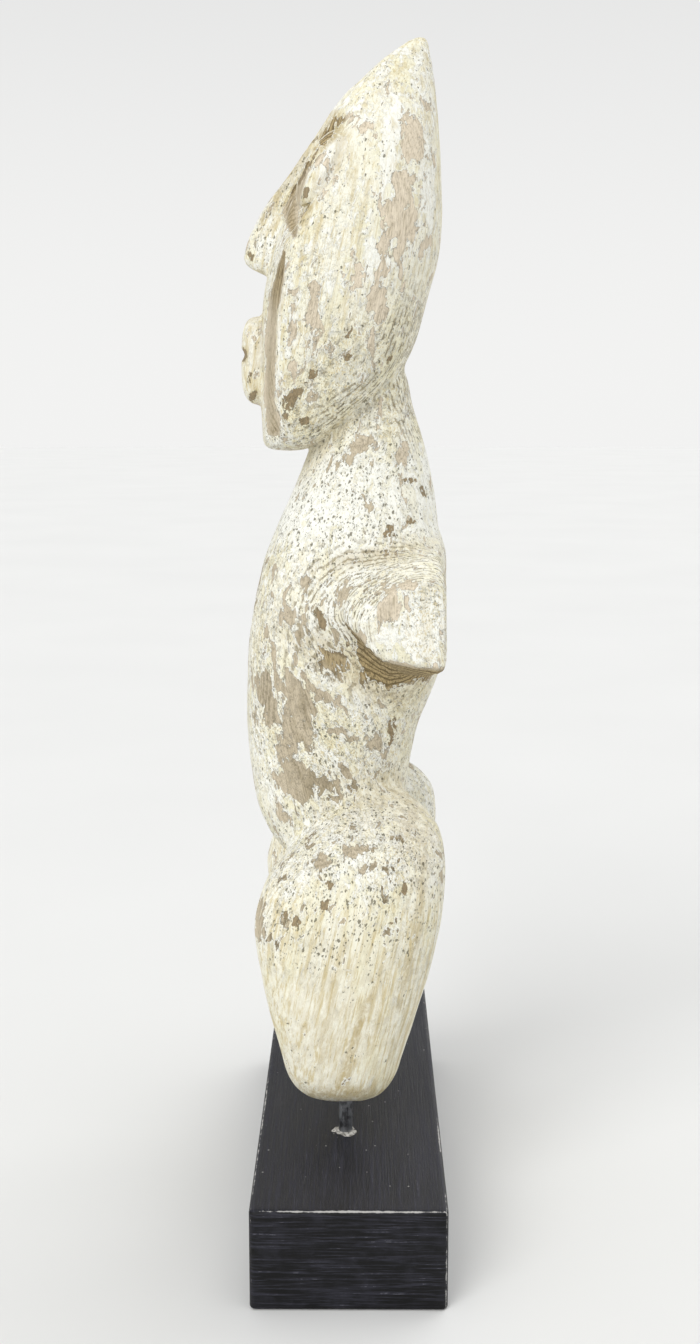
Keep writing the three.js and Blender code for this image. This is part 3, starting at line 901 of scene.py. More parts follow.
@dataclass(frozen=True)
class BlackStain:
    """Black stain on planed wood: brush lines, worn arrises and a little dust."""

    effects: Effects
    black: Colour = tint(8, 8, 11)
    # The black faded by lines and clouds, and also the painted sheen on the top
    faded_and_sheen: Colour = tint(46, 46, 54)
    scratch: Colour = tint(104, 104, 114)
    worn: Colour = tint(196, 194, 190)
    dust: Colour = tint(190, 188, 184)

    def make(self) -> bpy.types.Material:
        """Builds the material.

        Formula: lines are noise drawn out along the block's length on its top and across its ends; they,
        clouds and a painted sheen on the top fade the black, and their crests are scratches, broken by noise.
        The worn attribute, broken too, lightens the arrises, and specks of dust lie on the top.
        """
        material, w = new_material("black_stain")
        place = w.millimetres()
        top = w.attribute("upward")
        side_lines = w.noise(w.squeezed(place, (0.02, 0.04, 1.0)), 1 / 0.9, 4.0, 0.7)
        top_lines = w.noise(w.squeezed(place, (0.03, 1.0, 0.1)), 1 / 0.9, 4.0, 0.7)
        lines = w.add("Mix", {0: top, 2: side_lines, 3: top_lines}).outputs[0]
        clouds = w.noise(w.squeezed(place, (0.3, 1, 1)), 1 / 12, 4.0, 0.6)
        colour = w.mix(w.step(lines, 0.45, 0.65), self.black, self.faded_and_sheen)
        # Painted sheen: the top is lightened as if lit from above.
        colour = w.lay(colour, self.faded_and_sheen, top, 0.35)
        colour = w.lay(colour, self.faded_and_sheen, w.step(clouds, 0.45, 0.75), 0.5)
        breaks = w.noise(place, 1 / 3.2, 5.0, 0.65)
        scratched = w.times(w.step(lines, 0.6, 0.7), w.step(breaks, 0.48, 0.6))
        colour = w.lay(colour, self.scratch, scratched, w.step(top, 0.0, 1.0, 0.8, 0.3))
        worn = w.step(w.sum("ADD", w.attribute("worn"), w.swing(breaks)), 0.5, 0.7)
        colour = w.lay(colour, self.worn, worn, 0.75)
        dust = self.effects.dust.place(w, place, Amount=w.step(top, 0.0, 1.0, 0.4, 0.7), Size=4.0)["Dust"]
        colour = w.lay(colour, self.dust, dust, 0.6)
        height = w.sum("MULTIPLY_ADD", lines, 0.4, w.times(clouds, 0.15))
        height = w.sum("MULTIPLY_ADD", dust, 0.1, height)
        rough = w.step(lines, 0.35, 0.7, 0.4, 0.6)
        w.surface({"Base Color": colour, "Roughness": rough, "Specular IOR Level": 0.25}, height, MM, 0.7)
        return material


@dataclass(frozen=True)
class Steel:
    """Plain drawn steel, a little dull, with fine marks along its length."""

    effects: Effects
    bright: Colour = tint(160, 162, 166)
    dull: Colour = tint(96, 96, 98)
    dust: Colour = tint(205, 200, 190)

    def make(self) -> bpy.types.Material:
        """Builds the material: noise drawn out along the rod dulls and roughens the metal."""
        material, w = new_material("steel")
        place = w.millimetres()
        marks = w.noise(w.squeezed(place, (1, 1, 0.08)), 1 / 0.6, 4.0, 0.6)
        colour = w.mix(w.step(w.noise(place, 1 / 4, 3.0, 0.5), 0.4, 0.65), self.bright, self.dull)
        dust = self.effects.dust.place(w, place, Amount=1.0, Size=3.0)["Dust"]
        colour = w.lay(colour, self.dust, dust, 0.5)
        rough = w.step(marks, 0.3, 0.7, 0.26, 0.48)
        w.surface({"Base Color": colour, "Roughness": rough, "Metallic": 0.9}, marks, 0.05 * MM, 0.6)
        return material


@dataclass(frozen=True)
class Filler:
    """Dried white filler that squeezed out around a rod's foot."""

    effects: Effects
    pale: Colour = tint(206, 203, 196)
    dirty: Colour = tint(120, 117, 110)

    def make(self) -> bpy.types.Material:
        """Builds the material: crumbly noise dirties and dents it, and pits open it."""
        material, w = new_material("filler")
        place = w.millimetres()
        crumbs = w.noise(place, 1 / 1.6, 5.0, 0.6)
        pits = self.effects.pits.place(w, place, Density=1.0, Size=0.9)["Pits"]
        colour = w.mix(w.step(crumbs, 0.4, 0.65), self.pale, self.dirty)
        colour = w.mix(pits, colour, self.dirty)
        w.surface({"Base Color": colour, "Roughness": 0.9}, crumbs, 0.6 * MM, 0.8)
        return material


# The figure


@dataclass
class Carving:
    """The figure, carved in one piece. Its form is in shares of its height: x outwards from the middle plane,
    y towards the back, t up from the leg stumps' undersides. The tables' columns are named above each."""

    height: float
    underside: float

    # t, front, back, half width
    trunk_rows: Rows = Rows((
        (0.17, -0.01, 0.05, 0.03), (0.198, -0.036, 0.054, 0.06), (0.23, -0.074, 0.056, 0.083),
        (0.264, -0.092, 0.055, 0.094), (0.306, -0.1, 0.0595, 0.099), (0.346, -0.103, 0.068, 0.104),
        (0.388, -0.102, 0.081, 0.109), (0.427, -0.1, 0.087, 0.11), (0.469, -0.094, 0.087, 0.11),
        (0.509, -0.084, 0.087, 0.104), (0.548, -0.069, 0.085, 0.092), (0.586, -0.053, 0.08, 0.077),
        (0.626, -0.037, 0.071, 0.064), (0.664, -0.031, 0.059, 0.056), (0.72, -0.026, 0.055, 0.05),
    ))
    # t, front, back, middle of its width, half width
    leg_rows: Rows = Rows((
        (0, -0.056, 0.041, 0.117, 0.04), (0.026, -0.061, 0.0455, 0.117, 0.043),
        (0.051, -0.067, 0.0525, 0.1165, 0.0455), (0.075, -0.074, 0.06, 0.115, 0.0485),
        (0.099, -0.0795, 0.0675, 0.1135, 0.052), (0.123, -0.084, 0.075, 0.111, 0.055),
        (0.148, -0.0885, 0.081, 0.109, 0.0575), (0.172, -0.0905, 0.086, 0.1065, 0.0595),
        (0.195, -0.0855, 0.089, 0.1035, 0.0605), (0.216, -0.077, 0.0905, 0.1, 0.0595),
        (0.2335, -0.063, 0.0905, 0.097, 0.0565), (0.26, -0.038, 0.085, 0.09, 0.047),
        (0.286, -0.008, 0.064, 0.079, 0.026),
    ))
    # x, front, back, underside at the back, top
    arm_rows: Rows = Rows((
        (0.06, -0.05, 0.086, 0.37, 0.525), (0.11, -0.04, 0.087, 0.381, 0.523),
        (0.135, -0.021, 0.0875, 0.394, 0.52), (0.16, 0.0, 0.087, 0.409, 0.514),
        (0.19, 0.0215, 0.0855, 0.429, 0.506),
    ))
    # t, face, back, half width
    head_rows: Rows = Rows((
        (0.61, -0.083, 0.03, 0.06), (0.65, -0.086, 0.04, 0.077), (0.683, -0.086, 0.053, 0.089),
        (0.722, -0.086, 0.064, 0.098), (0.759, -0.083, 0.0735, 0.101), (0.797, -0.075, 0.083, 0.1),
        (0.834, -0.063, 0.086, 0.0955), (0.87, -0.047, 0.085, 0.087), (0.9075, -0.0295, 0.083, 0.073),
        (0.943, -0.0095, 0.0805, 0.052), (0.961, 0.01, 0.0785, 0.04), (0.979, 0.031, 0.0755, 0.026),
        (1.0, 0.06, 0.071, 0.0095),
    ))
    # t, ridge, half width at the face
    nose_rows: Rows = Rows((
        (0.765, -0.1025, 0.028), (0.797, -0.102, 0.0265), (0.815, -0.0975, 0.0245), (0.834, -0.0875, 0.0225),
        (0.852, -0.0765, 0.0215), (0.87, -0.063, 0.022), (0.889, -0.049, 0.024), (0.9075, -0.0355, 0.027),
        (0.94, -0.012, 0.032),
    ))
    arm_reach: float = 0.187
    arm_middle: tuple[float, float] = (0.022, 0.55)  # in front of its back, and as a share of its depth
    arm_stretch: tuple[float, float] = (0.13, 0.183)  # where along the arm its underside changes over
    arm_slant: tuple[float, float] = (0.53, 0.18)  # how fast it climbs to the front, before and after
    arm_softness: tuple[float, float] = (0.085, 0.008)  # of the underside's edges, before and after
    arm_drop: float = 1.6  # the lower half of the oval, as a share of the height below its middle
    trunk_ends: tuple[float, float] = (0.185, 0.71)
    leg_top: float = 0.292
    chin: float = 0.6165
    jaw_at: tuple[float, float] = (-0.045, 0.6125)
    jaw_rise: float = 0.745
    cheek_cut: float = 0.027
    cheek_top: float = 0.83
    bow: tuple[float, float] = (4.4, 14)  # of the face across, below and above
    bow_stretch: tuple[float, float] = (0.8, 0.95)  # between which heights the bow grows
    nose_tip: tuple[float, float] = (-0.1, 0.79)
    nose_drop: float = 0.4
    nose_top: float = 0.935
    nose_ridge: float = 0.42
    nose_depth: float = 0.03
    mouth: Egg = Egg(0, -0.08, 0.7015, (0.034, 0.0245, 0.0425), roundness=3.6)
    mouth_slit: Egg = Egg(0, -0.1085, 0.707, (0.04, 0.0075, 0.005))
    eye_socket: Egg = Egg(0.055, -0.0385, 0.864, (0.0305, 0.0165, 0.056), 0.5, 0.5, 1.7)
    eyeball: Egg = Egg(0.0655, -0.0285, 0.8725, (0.0235, 0.0125, 0.04), 0.5, 0.5, 1.8)
    marks: tuple[Mark | Stroke, ...] = HEAD_MARKS + BODY_MARKS + LEG_MARKS + FACE_STROKES
    grid_step: float = 0.0035
    quick_step: float = 0.006
    grid_out: float = 0.195
    grid_deep: tuple[float, float] = (-0.113, 0.096)
    grid_up: tuple[float, float] = (-0.006, 1.006)

    def trunk(self, x: Array, y: Array, t: Array) -> Array:
        """Field of trunk and neck: an oval at every height, rounded off below and lost in the head above."""
        front, back, half = self.trunk_rows(t)
        side = oval(x, y - (front + back) / 2, half, (back - front) / 2, 2.4)
        low, high = self.trunk_ends
        return soft_cut(side, np.maximum(low - t, t - high), 0.04)

    def leg(self, x: Array, y: Array, t: Array) -> Array:
        """Field of one leg: an oval at every height, with a rounded stump."""
        front, back, middle, half = self.leg_rows(t)
        side = oval(x - middle, y - (front + back) / 2, half, (back - front) / 2, 2.3)
        return soft_cut(soft_cut(side, -t, 0.036), t - self.leg_top, 0.02)

    def arm(self, x: Array, y: Array, t: Array) -> Array:
        """Field of one stub arm: an oval at every place along it, cut by a flat back, a slanting underside
        and the sawn end."""
        front, back, low, high = self.arm_rows(x)
        middle_y = back - self.arm_middle[0]
        middle_t = low + self.arm_middle[1] * (high - low)
        half_t = np.where(t > middle_t, high - middle_t, self.arm_drop * (middle_t - low))
        side = oval(y - middle_y, t - middle_t, middle_y - front, half_t, 1.7)
        slant = np.interp(x, self.arm_stretch, self.arm_slant)
        under = (low + slant * (back - y) - t) * np.cos(np.arctan(slant))
        softness = np.interp(x, self.arm_stretch, self.arm_softness)
        side = soft_cut(soft_cut(side, y - back, 0.014), under, softness)
        return soft_cut(side, np.maximum(x - self.arm_reach, 0.04 - x), 0.006)

    def head_mass(self, x: Array, y: Array, t: Array) -> Array:
        """Field of the head without its nose: an oval cut by a bowed face, two cheek edges, a jaw and a
        chin."""
        face, back, half = self.head_rows(t)
        front_spare = 0.028
        middle = (face - front_spare + back) / 2
        form = oval(x, y - middle, half, back - middle, 2.5)
        bow = np.interp(t, self.bow_stretch, self.bow)
        form = soft_cut(form, face + 0.5 * bow * x * x - y, 0.008)
        form = np.where(t < self.cheek_top, soft_cut(form, self.cheek_edge(x, y, t), 0.004), form)
        slant = math.cos(math.atan(self.jaw_rise))
        jaw = (self.jaw_at[1] + self.jaw_rise * (y - self.jaw_at[0]) - t) * slant
        form = soft_cut(form, jaw, 0.03)
        return soft_cut(soft_cut(form, self.chin - t, 0.012), t - 1, 0.008)

    def cheek_edge(self, x: Array, y: Array, t: Array) -> Array:
        """Field of the slanting cut along the edge between face and cheek."""
        face, _, half = self.head_rows(t)
        return (x - y - (half - face - self.cheek_cut)) * math.sqrt(0.5)

    def nose(self, x: Array, y: Array, t: Array) -> Array:
        """Field of the nose: a wedge behind its ridge line, cut off below and at the brow."""
        ridge, half = self.nose_rows(t)
        behind = y - ridge
        ridge_half = self.nose_ridge * half
        side = x - ridge_half - (half - ridge_half) * np.minimum(behind / self.nose_depth, 1.2)
        under = self.nose_tip[1] - self.nose_drop * (y - self.nose_tip[0]) - t
        ends = soft_cut(under, t - self.nose_top, 0.01)
        return soft_cut(soft_cut(np.maximum(side, y - 0.01), -behind, 0.007), ends, 0.01)

    def head(self, x: Array, y: Array, t: Array) -> Array:
        """Field of the whole head, with eyes and mouth."""
        form = soft_join(self.head_mass(x, y, t), self.nose(x, y, t), 0.005)
        form = soft_cut(form, -self.eye_socket(x, y, t), 0.004)
        form = soft_join(form, self.eyeball(x, y, t), 0.002)
        lips = soft_cut(self.mouth(x, y, t), -self.mouth_slit(x, y, t), 0.004)
        return soft_join(form, lips, 0.004)

    def form(self, x: Array, y: Array, t: Array) -> Array:
        """Field of the whole figure, the same on both sides of its middle plane."""
        x = np.abs(x)
        form = soft_join(self.trunk(x, y, t), self.arm(x, y, t), 0.03)
        form = soft_join(form, self.leg(x, y, t), 0.018)
        return soft_join(form, self.head(x, y, t), 0.006)

    def grid(self) -> list[Array]:
        """Places of the wrapping grid, closer at the face and the arms."""
        step = self.grid_step
        half = spaced(step / 2, self.grid_out, lambda x: step if x < 0.115 else 0.85 * step)
        deep = spaced(*self.grid_deep, lambda y: 0.85 * step if y < -0.04 else step)
        up = spaced(*self.grid_up, lambda t: 0.82 * step if 0.66 < t < 0.92 else step)
        return [np.concatenate([-half[::-1], half]), deep, up]

    def relief(self, points: Array, bare: Array) -> Array:
        """Height of the tool marks and lost paint above the smooth form, in metres.

        Formula: three sizes of waves drawn out along the grain, terraces where the growth rings come out on
        the arms, and the thickness of the paint where it is lost.

        Args:
            points: places on the skin, in metres.
            bare: how bare the wood is there, 0 to 1.
        """
        x, y, _ = points.T
        gouge = Waves(3)(points, (0.013, 0.013, 0.042))
        ripple = Waves(4)(points, (0.0055, 0.0055, 0.017))
        fibre = Waves(5)(points, (0.0026, 0.0026, 0.012))
        height = 0.45 * gouge + 0.2 * ripple + 0.09 * fibre
        ring = (np.hypot(x + TRUNK_MIDDLE, y) + 0.0016 * Waves(6)(points, (0.02, 0.02, 0.03))) / 0.0047
        ring = np.where(x > 0, ring, -ring)
        ledge = ring - np.floor(ring)
        height += -0.5 * self.ringed(points) * ease(ledge, 0.0, 0.85)
        return MM * (height - 0.3 * ease(bare, 0.35, 0.65))

    def ringed(self, points: Array) -> Array:
        """How strongly the growth rings come out: fully on the flanks of the arms, and not on their sawn
        ends."""
        x = np.abs(points[:, 0]) / self.height
        t = (points[:, 2] - self.underside) / self.height
        on_arm = ease(x, 0.08, 0.11) * ease(t, 0.37, 0.41) * ease(-t, -0.56, -0.52)
        return on_arm * ease(-x, -0.186, -0.18)

    def lay_marks(self, points: Array, normals: Array) -> tuple[Array, dict[Wear, Array]]:
        """Lays the marks on the skin as the photograph's camera sees it.

        Formula: a point is seen where its normal leans towards the camera and it lies on the left of the
        middle plane; marks of both sides are laid once more on the mirrored points.

        Returns:
            How well each point is seen, and how much each kind of mark covers it.
        """
        camera = PhotoCamera()
        laid = {kind: np.zeros(len(points)) for kind in Wear}
        views = []
        for side in (1, -1):
            mirror = np.array([side, 1, 1])
            place, normal = points * mirror, normals * mirror
            pixels = camera.pixels(place)
            to_camera = np.array(camera.place) - place
            to_camera /= np.linalg.norm(to_camera, axis=1)[:, None]
            seen = ease(np.einsum("ij,ij->i", normal, to_camera), 0.02, 0.2) * (place[:, 0] > 0)
            views.append(seen)
            for mark in self.marks:
                if side == 1 or mark.both_sides:
                    laid[mark.kind] = np.maximum(laid[mark.kind], mark.cover(pixels) * seen)
        return views[0], laid

    def wear(self, shares: Array, points: Array, normals: Array) -> dict[str, Array]:
        """Works out how worn each point of the skin is.

        Formula: hollows are where the form's field grows slower than the distance out of the wood, and
        arrises where it falls slower than the distance into it. The parts of the figure are told apart by
        height, depth and distance from the middle. Each attribute is a sum of parts, waves and marks, each
        with its weight; the marks are laid on as the photograph's camera sees them.

        Args:
            shares: the points in shares of the height.
            points: the points in metres.
            normals: the directions out of the wood.

        Returns:
            The attributes that the whitewash reads.
        """
        near, far = 0.012, 0.034
        hollow = 1 - self.form(*(shares + near * normals).T) / near
        broad_hollow = 1 - self.form(*(shares + far * normals).T) / far
        arris = 1 + self.form(*(shares - near * normals).T) / near
        # Hollows get stain and painted shade: the deeper the hollow, the more stain colour and the less white
        # paint.
        crease_stain_and_shade = np.clip(ease(hollow, 0.12, 0.6) + 0.7 * ease(broad_hollow, 0.25, 0.8), 0, 1)
        arris = ease(arris, 0.25, 0.8)

        seen_left, laid = self.lay_marks(points, normals)

        y, t = shares[:, 1], shares[:, 2]
        cloud = Waves(11)(points, (0.03, 0.03, 0.055))
        patchy = Waves(12)(points, (0.017, 0.017, 0.026))
        unseen = 1 - seen_left
        on_head = ease(t, 0.6, 0.66)
        low_cheek = on_head * ease(-t + 0.25 * y, -0.78, -0.7) * ease(-t + 1.9 * y, -0.8, -0.72)
        on_leg = ease(-t, -0.24, -0.18)
        on_hip = ease(t, 0.2, 0.25) * ease(-t, -0.42, -0.33)
        shoulder = ease(t, 0.5, 0.55) * (1 - on_head)
        on_arm = self.ringed(points)
        on_belly = ease(t, 0.28, 0.36) * (1 - on_head) * (1 - shoulder) * (1 - on_arm)
        out = np.abs(shares[:, 0])
        # Painted shade under the arms: skin facing down there is made bare, stained and darkened.
        shade_under_arm = ease(out, 0.065, 0.09) * ease(-out, -0.1875, -0.184)
        shade_under_arm *= ease(t, 0.393, 0.41) * ease(-t, -0.5, -0.46)
        shade_under_arm *= ease(-normals[:, 2] - 0.25 * ease(-y, -0.05, 0.0), 0.04, 0.36)
        arm_end = ease(out, 0.18, 0.186)
        # Painted shade in the mouth's slit, laid as chipped and stained wood
        shade_between_lips = ease(-self.mouth_slit(*shares.T), -0.006, -0.001)
        brow_side = on_head * ease(-y, 0.015, 0.04)
        crown = ease(t, 0.86, 0.93)
        slanting = ease(np.sqrt(1 - np.clip(normals[:, 0], -1, 1) ** 2), 0.25, 0.7)
        low_leg = ease(-t, -0.18, -0.11)
        loose = -0.4 + 0.3 * cloud + 0.4 * on_belly + 0.38 * on_arm - 0.5 * on_leg + 0.15 * arris
        loose += 0.25 * low_cheek - 0.8 * laid[Wear.WHITE] - low_leg - 0.4 * brow_side
        loose += unseen * (0.15 + 0.6 * ease(cloud + 0.6 * patchy, 0.3, 0.9))
        white = 0.3 + 0.35 * shoulder + 0.25 * cloud - 0.5 * crease_stain_and_shade - 0.5 * on_leg - 0.4 * low_cheek
        bare = np.maximum(np.maximum(loose, laid[Wear.BARE]), 1.2 * shade_under_arm) - 0.5 * low_leg
        chipped = np.maximum(1.5 * laid[Wear.CHIP], 1.4 * shade_between_lips) - 0.5 - 0.5 * low_leg
        # Stain and weathering here carry painted shade too: in hollows, under the arms and the brow, and in
        # the mouth's slit.
        stained = laid[Wear.STAIN_AND_SHADE] + 0.5 * crease_stain_and_shade + 0.8 * shade_under_arm + shade_between_lips
        weathered_and_shaded = 0.45 + 0.3 * cloud + 0.25 * patchy - 0.42 * on_head + 0.25 * low_cheek - 0.3 * arm_end
        weathered_and_shaded += 0.8 * shade_under_arm + (0.4 + 0.45 * on_head) * laid[Wear.STAIN_AND_SHADE]
        pitted = 0.6 + 0.25 * cloud - 0.1 * on_head + 0.35 * shoulder - 0.45 * low_leg - 0.15 * crown
        streaked = 0.3 + 0.4 * (on_head - low_cheek) + 0.3 * brow_side + 0.7 * on_leg
        streaked += 0.2 * patchy - 0.2 * shoulder
        mottled = 0.35 + 0.3 * on_hip + 0.4 * on_belly + 0.7 * low_cheek - 0.2 * on_leg
        mottled += 0.35 * patchy - 0.3 * crown
        return {
            Wear.BARE.value: np.clip(bare, -1, 2.4),
            Wear.CHIP.value: np.clip(chipped, -1, 1.2),
            Wear.WHITE.value: np.clip(np.maximum(white, laid[Wear.WHITE]), -1, 1.4),
            Wear.STAIN_AND_SHADE.value: np.clip(stained, 0, 1),
            "weathered_and_shaded": np.clip(weathered_and_shaded, 0, 1),
            "pitted": np.clip(pitted, 0, 1),
            "streaked": np.clip(streaked, 0, 1),
            "mottled": np.clip(mottled, 0, 1),
            "ringed": np.clip((0.2 + 0.4 * low_cheek) * slanting + 0.5 * low_cheek + on_arm, 0, 1),
            "greyed": np.clip(low_cheek + 0.2 * on_leg + 0.3 * patchy, 0, 1),
            "grain_shift": self.grain_shift(points),
        }

    def grain_shift(self, points: Array) -> Array:
        """How far the grain has wandered back, in millimetres: the slope at each height, added up from below.

        The grain leans back as it rises in the legs and the head, and forward in the belly.
        """
        t = (points[:, 2] - self.underside) / self.height
        heights = np.linspace(0, 1, 101)
        turns = (0, 0.24), (0.2, 0.2), (0.28, -0.15), (0.4, -0.3), (0.5, 0), (0.62, 0.2), (1, 0.16)
        lean = np.interp(heights, *np.array(turns).T)
        return np.interp(t, heights, np.cumsum(lean) * self.height / (len(heights) - 1)) / MM

    def build(self, finish: bpy.types.Material) -> bpy.types.Object:
        """Wraps the form, adds its relief and wear, and stands it for the solid figure."""
        shares, faces = wrap(self.form, self.grid())
        _, normals = slope_of(self.form, shares)
        points = shares * self.height + np.array([0, 0, self.underside])
        wear = self.wear(shares, points, normals)
        points += normals * self.relief(points, wear[Wear.BARE.value])[:, None]
        piece = make_piece("carved_figure", points, faces, wear)
        piece.data.materials.append(finish)
        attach(piece, "root")
        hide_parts("figure")
        return piece


# The base and the rods


@dataclass
class Block:
    """The black base, a planed block with eased arrises."""

    low: Vector
    high: Vector
    round_level: float = 2.5 * MM  # of the arrises, along X and Y
    round_upright: float = 1.5 * MM  # of the arrises, along Z
    spacing: float = 2.0 * MM

    def lines(self, axis: int, radius: float) -> Array:
        """Grid lines along one axis: close together in the rounded ends and evenly spaced between them."""
        low, high = self.low[axis], self.high[axis]
        ends = radius * np.array([0, 0.25, 0.5, 0.75])
        count = round((high - low - 2 * radius) / self.spacing)
        flat = np.linspace(low + radius, high - radius, count)
        return np.concatenate([low + ends, flat, high - ends[::-1]])

    def skin(self) -> tuple[Array, Array, Array]:
        """The block's skin.

        Formula: a point of a plain box's skin is d away from the nearest point of the core, the box less
        its rounded margin. Measured in margins, d is scaled by its greatest part over its length, which
        rounds the arrises and leaves the flat sides as they are.

        Returns:
            The points, the quads, and how far each point lies in a rounded arris, 0 to 1.
        """
        radii = np.array([self.round_level, self.round_level, self.round_upright])
        lines = [self.lines(axis, radii[axis]) for axis in range(3)]
        sheets, quads, start = [], [], 0
        for axis in range(3):
            u, v = (axis + 1) % 3, (axis + 2) % 3
            across, along = np.meshgrid(lines[u], lines[v], indexing="ij")
            number = np.arange(across.size).reshape(across.shape)
            corners = [number[:-1, :-1], number[1:, :-1], number[1:, 1:], number[:-1, 1:]]
            quad = np.stack(corners, axis=-1).reshape(-1, 4)
            for end in (0, -1):
                sheet = np.empty((across.size, 3))
                sheet[:, axis] = lines[axis][end]
                sheet[:, u] = across.ravel()
                sheet[:, v] = along.ravel()
                sheets.append(sheet)
                quads.append(start + (quad if end else quad[:, ::-1]))
                start += len(sheet)
        points, number = np.unique(np.round(np.concatenate(sheets), 7), axis=0, return_inverse=True)
        faces = number.ravel()[np.concatenate(quads)]
        core = np.clip(points, np.array(self.low) + radii, np.array(self.high) - radii)
        away = (points - core) / radii
        most = np.sort(np.abs(away), axis=1)
        away *= (most[:, 2] / np.linalg.norm(away, axis=1))[:, None]
        return core + away * radii, faces, most[:, 1]

    def build(self, finish: bpy.types.Material) -> bpy.types.Object:
        """Rounds and wears the block, and stands it for the solid base."""
        points, faces, arris = self.skin()
        middle = (np.array(self.low) + np.array(self.high)) / 2
        inward = middle - points
        inward /= np.linalg.norm(inward, axis=1)[:, None]
        dents = Waves(21)(points, (0.009, 0.009, 0.009)) + 0.6 * Waves(22)(points, (0.003, 0.003, 0.003))
        planed = Waves(23)(points, (0.09, 0.012, 0.02))
        off_floor = ease(points[:, 2], self.low[2] + 0.5 * MM, self.low[2] + 2 * MM)
        depth = 0.35 * arris * np.maximum(dents, 0) + 0.06 * (1 + planed)
        points += inward * (MM * depth * off_floor)[:, None]
        worn = arris * (0.62 + 0.35 * Waves(24)(points, (0.03, 0.02, 0.02)))
        upward = (np.abs(points[:, 2] - middle[2]) > (self.high[2] - middle[2]) - 0.6 * MM).astype(float)
        piece = make_piece("stained_base", points, faces, {"worn": worn, "upward": upward})
        piece.data.materials.append(finish)
        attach(piece, "root")
        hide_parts("base")
        return piece


@dataclass
class Rod:
    """One steel rod between the base and a leg stump, with the filler at its foot."""

    name: str
    low: Vector
    high: Vector
    foot: float  # height of the base's top
    sides: int = 48
    spread: float = 5.2 * MM  # of the filler, past the rod's axis
    pad: float = 0.8 * MM  # the filler's greatest thickness

    def axis(self) -> tuple[float, float]:
        """Where the rod stands."""
        return (self.low.x + self.high.x) / 2, (self.low.y + self.high.y) / 2

    def build(self, finish: bpy.types.Material) -> bpy.types.Object:
        """A round bar: circles of one radius, drawn in at its two ends."""
        radius = (self.high.x - self.low.x) / 2
        chamfer = 0.4 * MM
        between = np.linspace(self.low.z + chamfer, self.high.z - chamfer, 24)
        heights = np.concatenate([[self.low.z], between, [self.high.z]])
        radii = np.full(len(heights), radius)
        radii[[0, -1]] -= chamfer
        piece = self.turned(self.name + "_bar", heights[:, None], radii[:, None])
        piece.data.materials.append(finish)
        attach(piece, "root")
        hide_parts(self.name)
        return piece

    def build_filler(self, finish: bpy.types.Material, seed: int) -> bpy.types.Object:
        """A thin crumbled pad: its thickness falls from the middle as 1 less the square of the share
        outwards, and waves make its outline ragged."""
        turn = np.linspace(0, 2 * math.pi, self.sides, endpoint=False)
        share = np.linspace(1, 0.04, 9)[:, None]
        way = np.stack([np.cos(turn), np.sin(turn), np.zeros(self.sides)], axis=1)
        edge = 1 + 0.3 * Waves(seed)(way, (0.5, 0.5, 0.5)) + 0.12 * Waves(seed + 1)(way, (0.2, 0.2, 0.2))
        radii = self.spread * share * edge
        places = np.stack([radii * np.cos(turn), radii * np.sin(turn), radii], axis=-1)
        crumbs = Waves(seed + 2)(places.reshape(-1, 3), (MM, MM, MM)).reshape(radii.shape)
        heights = self.foot + self.pad * (1 - share**2) * (1 + 0.35 * crumbs)
        under = np.full((1, self.sides), self.foot - 0.3 * MM)
        heights, radii = np.concatenate([under, heights]), np.concatenate([radii[:1], radii])
        piece = self.turned(self.name + "_filler", heights, radii)
        piece.data.materials.append(finish)
        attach(piece, "root")
        return piece

    def turned(self, name: str, heights: Array, radii: Array) -> bpy.types.Object:
        """A closed turned form: rings about the rod's axis, each with its own height and radius, and a
        point at the middle of each end."""
        turn = np.linspace(0, 2 * math.pi, self.sides, endpoint=False)
        heights, radii = (np.broadcast_to(part, (len(heights), self.sides)) for part in (heights, radii))
        x, y = self.axis()
        rings = np.stack([x + radii * np.cos(turn), y + radii * np.sin(turn), heights], axis=-1)
        points, walls = tube_grid(rings)
        ends = rings[[0, -1]].mean(axis=1)
        first, last = len(points), len(points) + 1
        low_ring = list(range(self.sides))
        top = (len(heights) - 1) * self.sides
        after = low_ring[1:] + low_ring[:1]
        caps = [(after[k], k, first) for k in low_ring] + [(top + k, top + after[k], last) for k in low_ring]
        faces = walls.tolist() + caps
        mesh = bpy.data.meshes.new(name)
        mesh.from_pydata(np.concatenate([points, ends]).tolist(), [], faces)
        mesh.polygons.foreach_set("use_smooth", np.ones(len(faces), bool))
        mesh.update()
        piece = bpy.data.objects.new(name, mesh)
        bpy.context.scene.collection.objects.link(piece)
        return piece


# Floor, lights and camera


@dataclass(frozen=True)
class Softlight:
    """A broad lamp so far away that it lights object and floor evenly."""

    name: str
    comes_from: tuple[float, float, float]
    strength: float  # in watts on a square metre that faces it
    breadth: float = math.radians(50)

    def make(self) -> None:
        """Puts the lamp into the scene."""
        lamp = bpy.data.lights.new(self.name, "SUN")
        lamp.energy = self.strength
        lamp.angle = self.breadth
        placed = bpy.data.objects.new(self.name, lamp)
        placed.location = self.comes_from
        placed.rotation_euler = (-Vector(self.comes_from)).to_track_quat("-Z", "Y").to_euler()
        bpy.context.scene.collection.objects.link(placed)


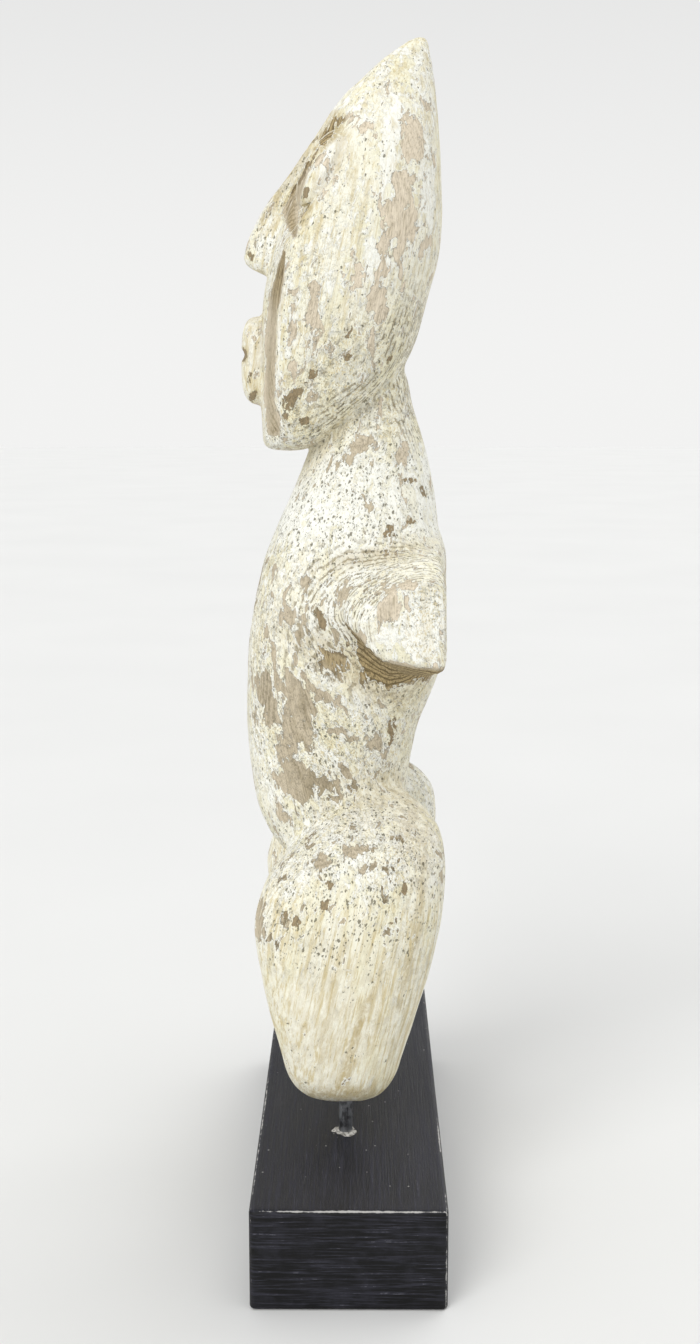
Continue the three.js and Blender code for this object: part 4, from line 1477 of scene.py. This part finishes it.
@dataclass
class Stage:
    """A plain pale floor, soft lights and a pale surround."""

    radius: float = 12.0
    floor_colour: Colour = tint(226, 226, 224)
    horizon: Colour = tint(242, 242, 241)
    zenith: Colour = tint(176, 177, 179)
    lamps: tuple[Softlight, ...] = (
        Softlight("key", (1.0, -0.6, 0.9), 1.45, math.radians(35)),
        Softlight("overhead", (0.1, 0.1, 1.7), 0.75),
        Softlight("back", (-1.0, 0.9, 1.0), 0.7),
    )

    def build(self) -> None:
        """Makes the floor as a disc, the world's colour, the lamps, the camera and the plain view of
        colours."""
        turn = np.linspace(0, 2 * math.pi, 96, endpoint=False)
        points = self.radius * np.stack([np.cos(turn), np.sin(turn), np.zeros(len(turn))], axis=1)
        floor = make_piece("floor", points, np.arange(len(turn))[None])
        material, w = new_material("floor")
        clouds = w.noise(w.millimetres(), 1 / 300, 2.0)
        darker = (*(0.94 * part for part in self.floor_colour[:3]), 1.0)
        w.surface({"Base Color": w.mix(clouds, self.floor_colour, darker), "Roughness": 0.9})
        floor.data.materials.append(material)
        self.light_surround()
        for lamp in self.lamps:
            lamp.make()
        PhotoCamera().make()
        bpy.context.scene.view_settings.view_transform = "Standard"

    def light_surround(self) -> None:
        """Makes the world a pale dome that darkens with height."""
        world = bpy.data.worlds.new("surround")
        world.use_nodes = True
        w = Wiring(world.node_tree)
        height = w.add("SeparateXYZ", {0: w.add("TexCoord").outputs["Generated"]}).outputs[2]
        sky = w.mix(w.step(height, 0.0, 0.8), self.horizon, self.zenith)
        background = w.add("Background", {0: sky})
        w.add("OutputWorld", {0: background.outputs[0]})
        bpy.context.scene.world = world


def main() -> None:
    """Builds the stage and every piece, and reports each one."""
    logging.basicConfig(level=logging.INFO, format="%(name)s: %(message)s")
    Stage().build()
    effects = Effects()
    base_low, base_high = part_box("base")
    underside = base_high.z + ROD_SHOWN
    height = (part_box("figure")[1].z - underside) / TIP_SHARE
    steel, filler = Steel(effects).make(), Filler(effects).make()
    pieces = [
        Block(base_low, base_high).build(BlackStain(effects).make()),
        Carving(height, underside).build(Whitewash(effects).make()),
    ]
    for number, name in enumerate(("rod_left", "rod_right")):
        rod = Rod(name, *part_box(name), foot=base_high.z)
        pieces += [rod.build(steel), rod.build_filler(filler, 31 + 3 * number)]
    for piece in pieces:
        log.info("%s has %d faces", piece.name, len(piece.data.polygons))


if __name__ == "__main__":
    main()
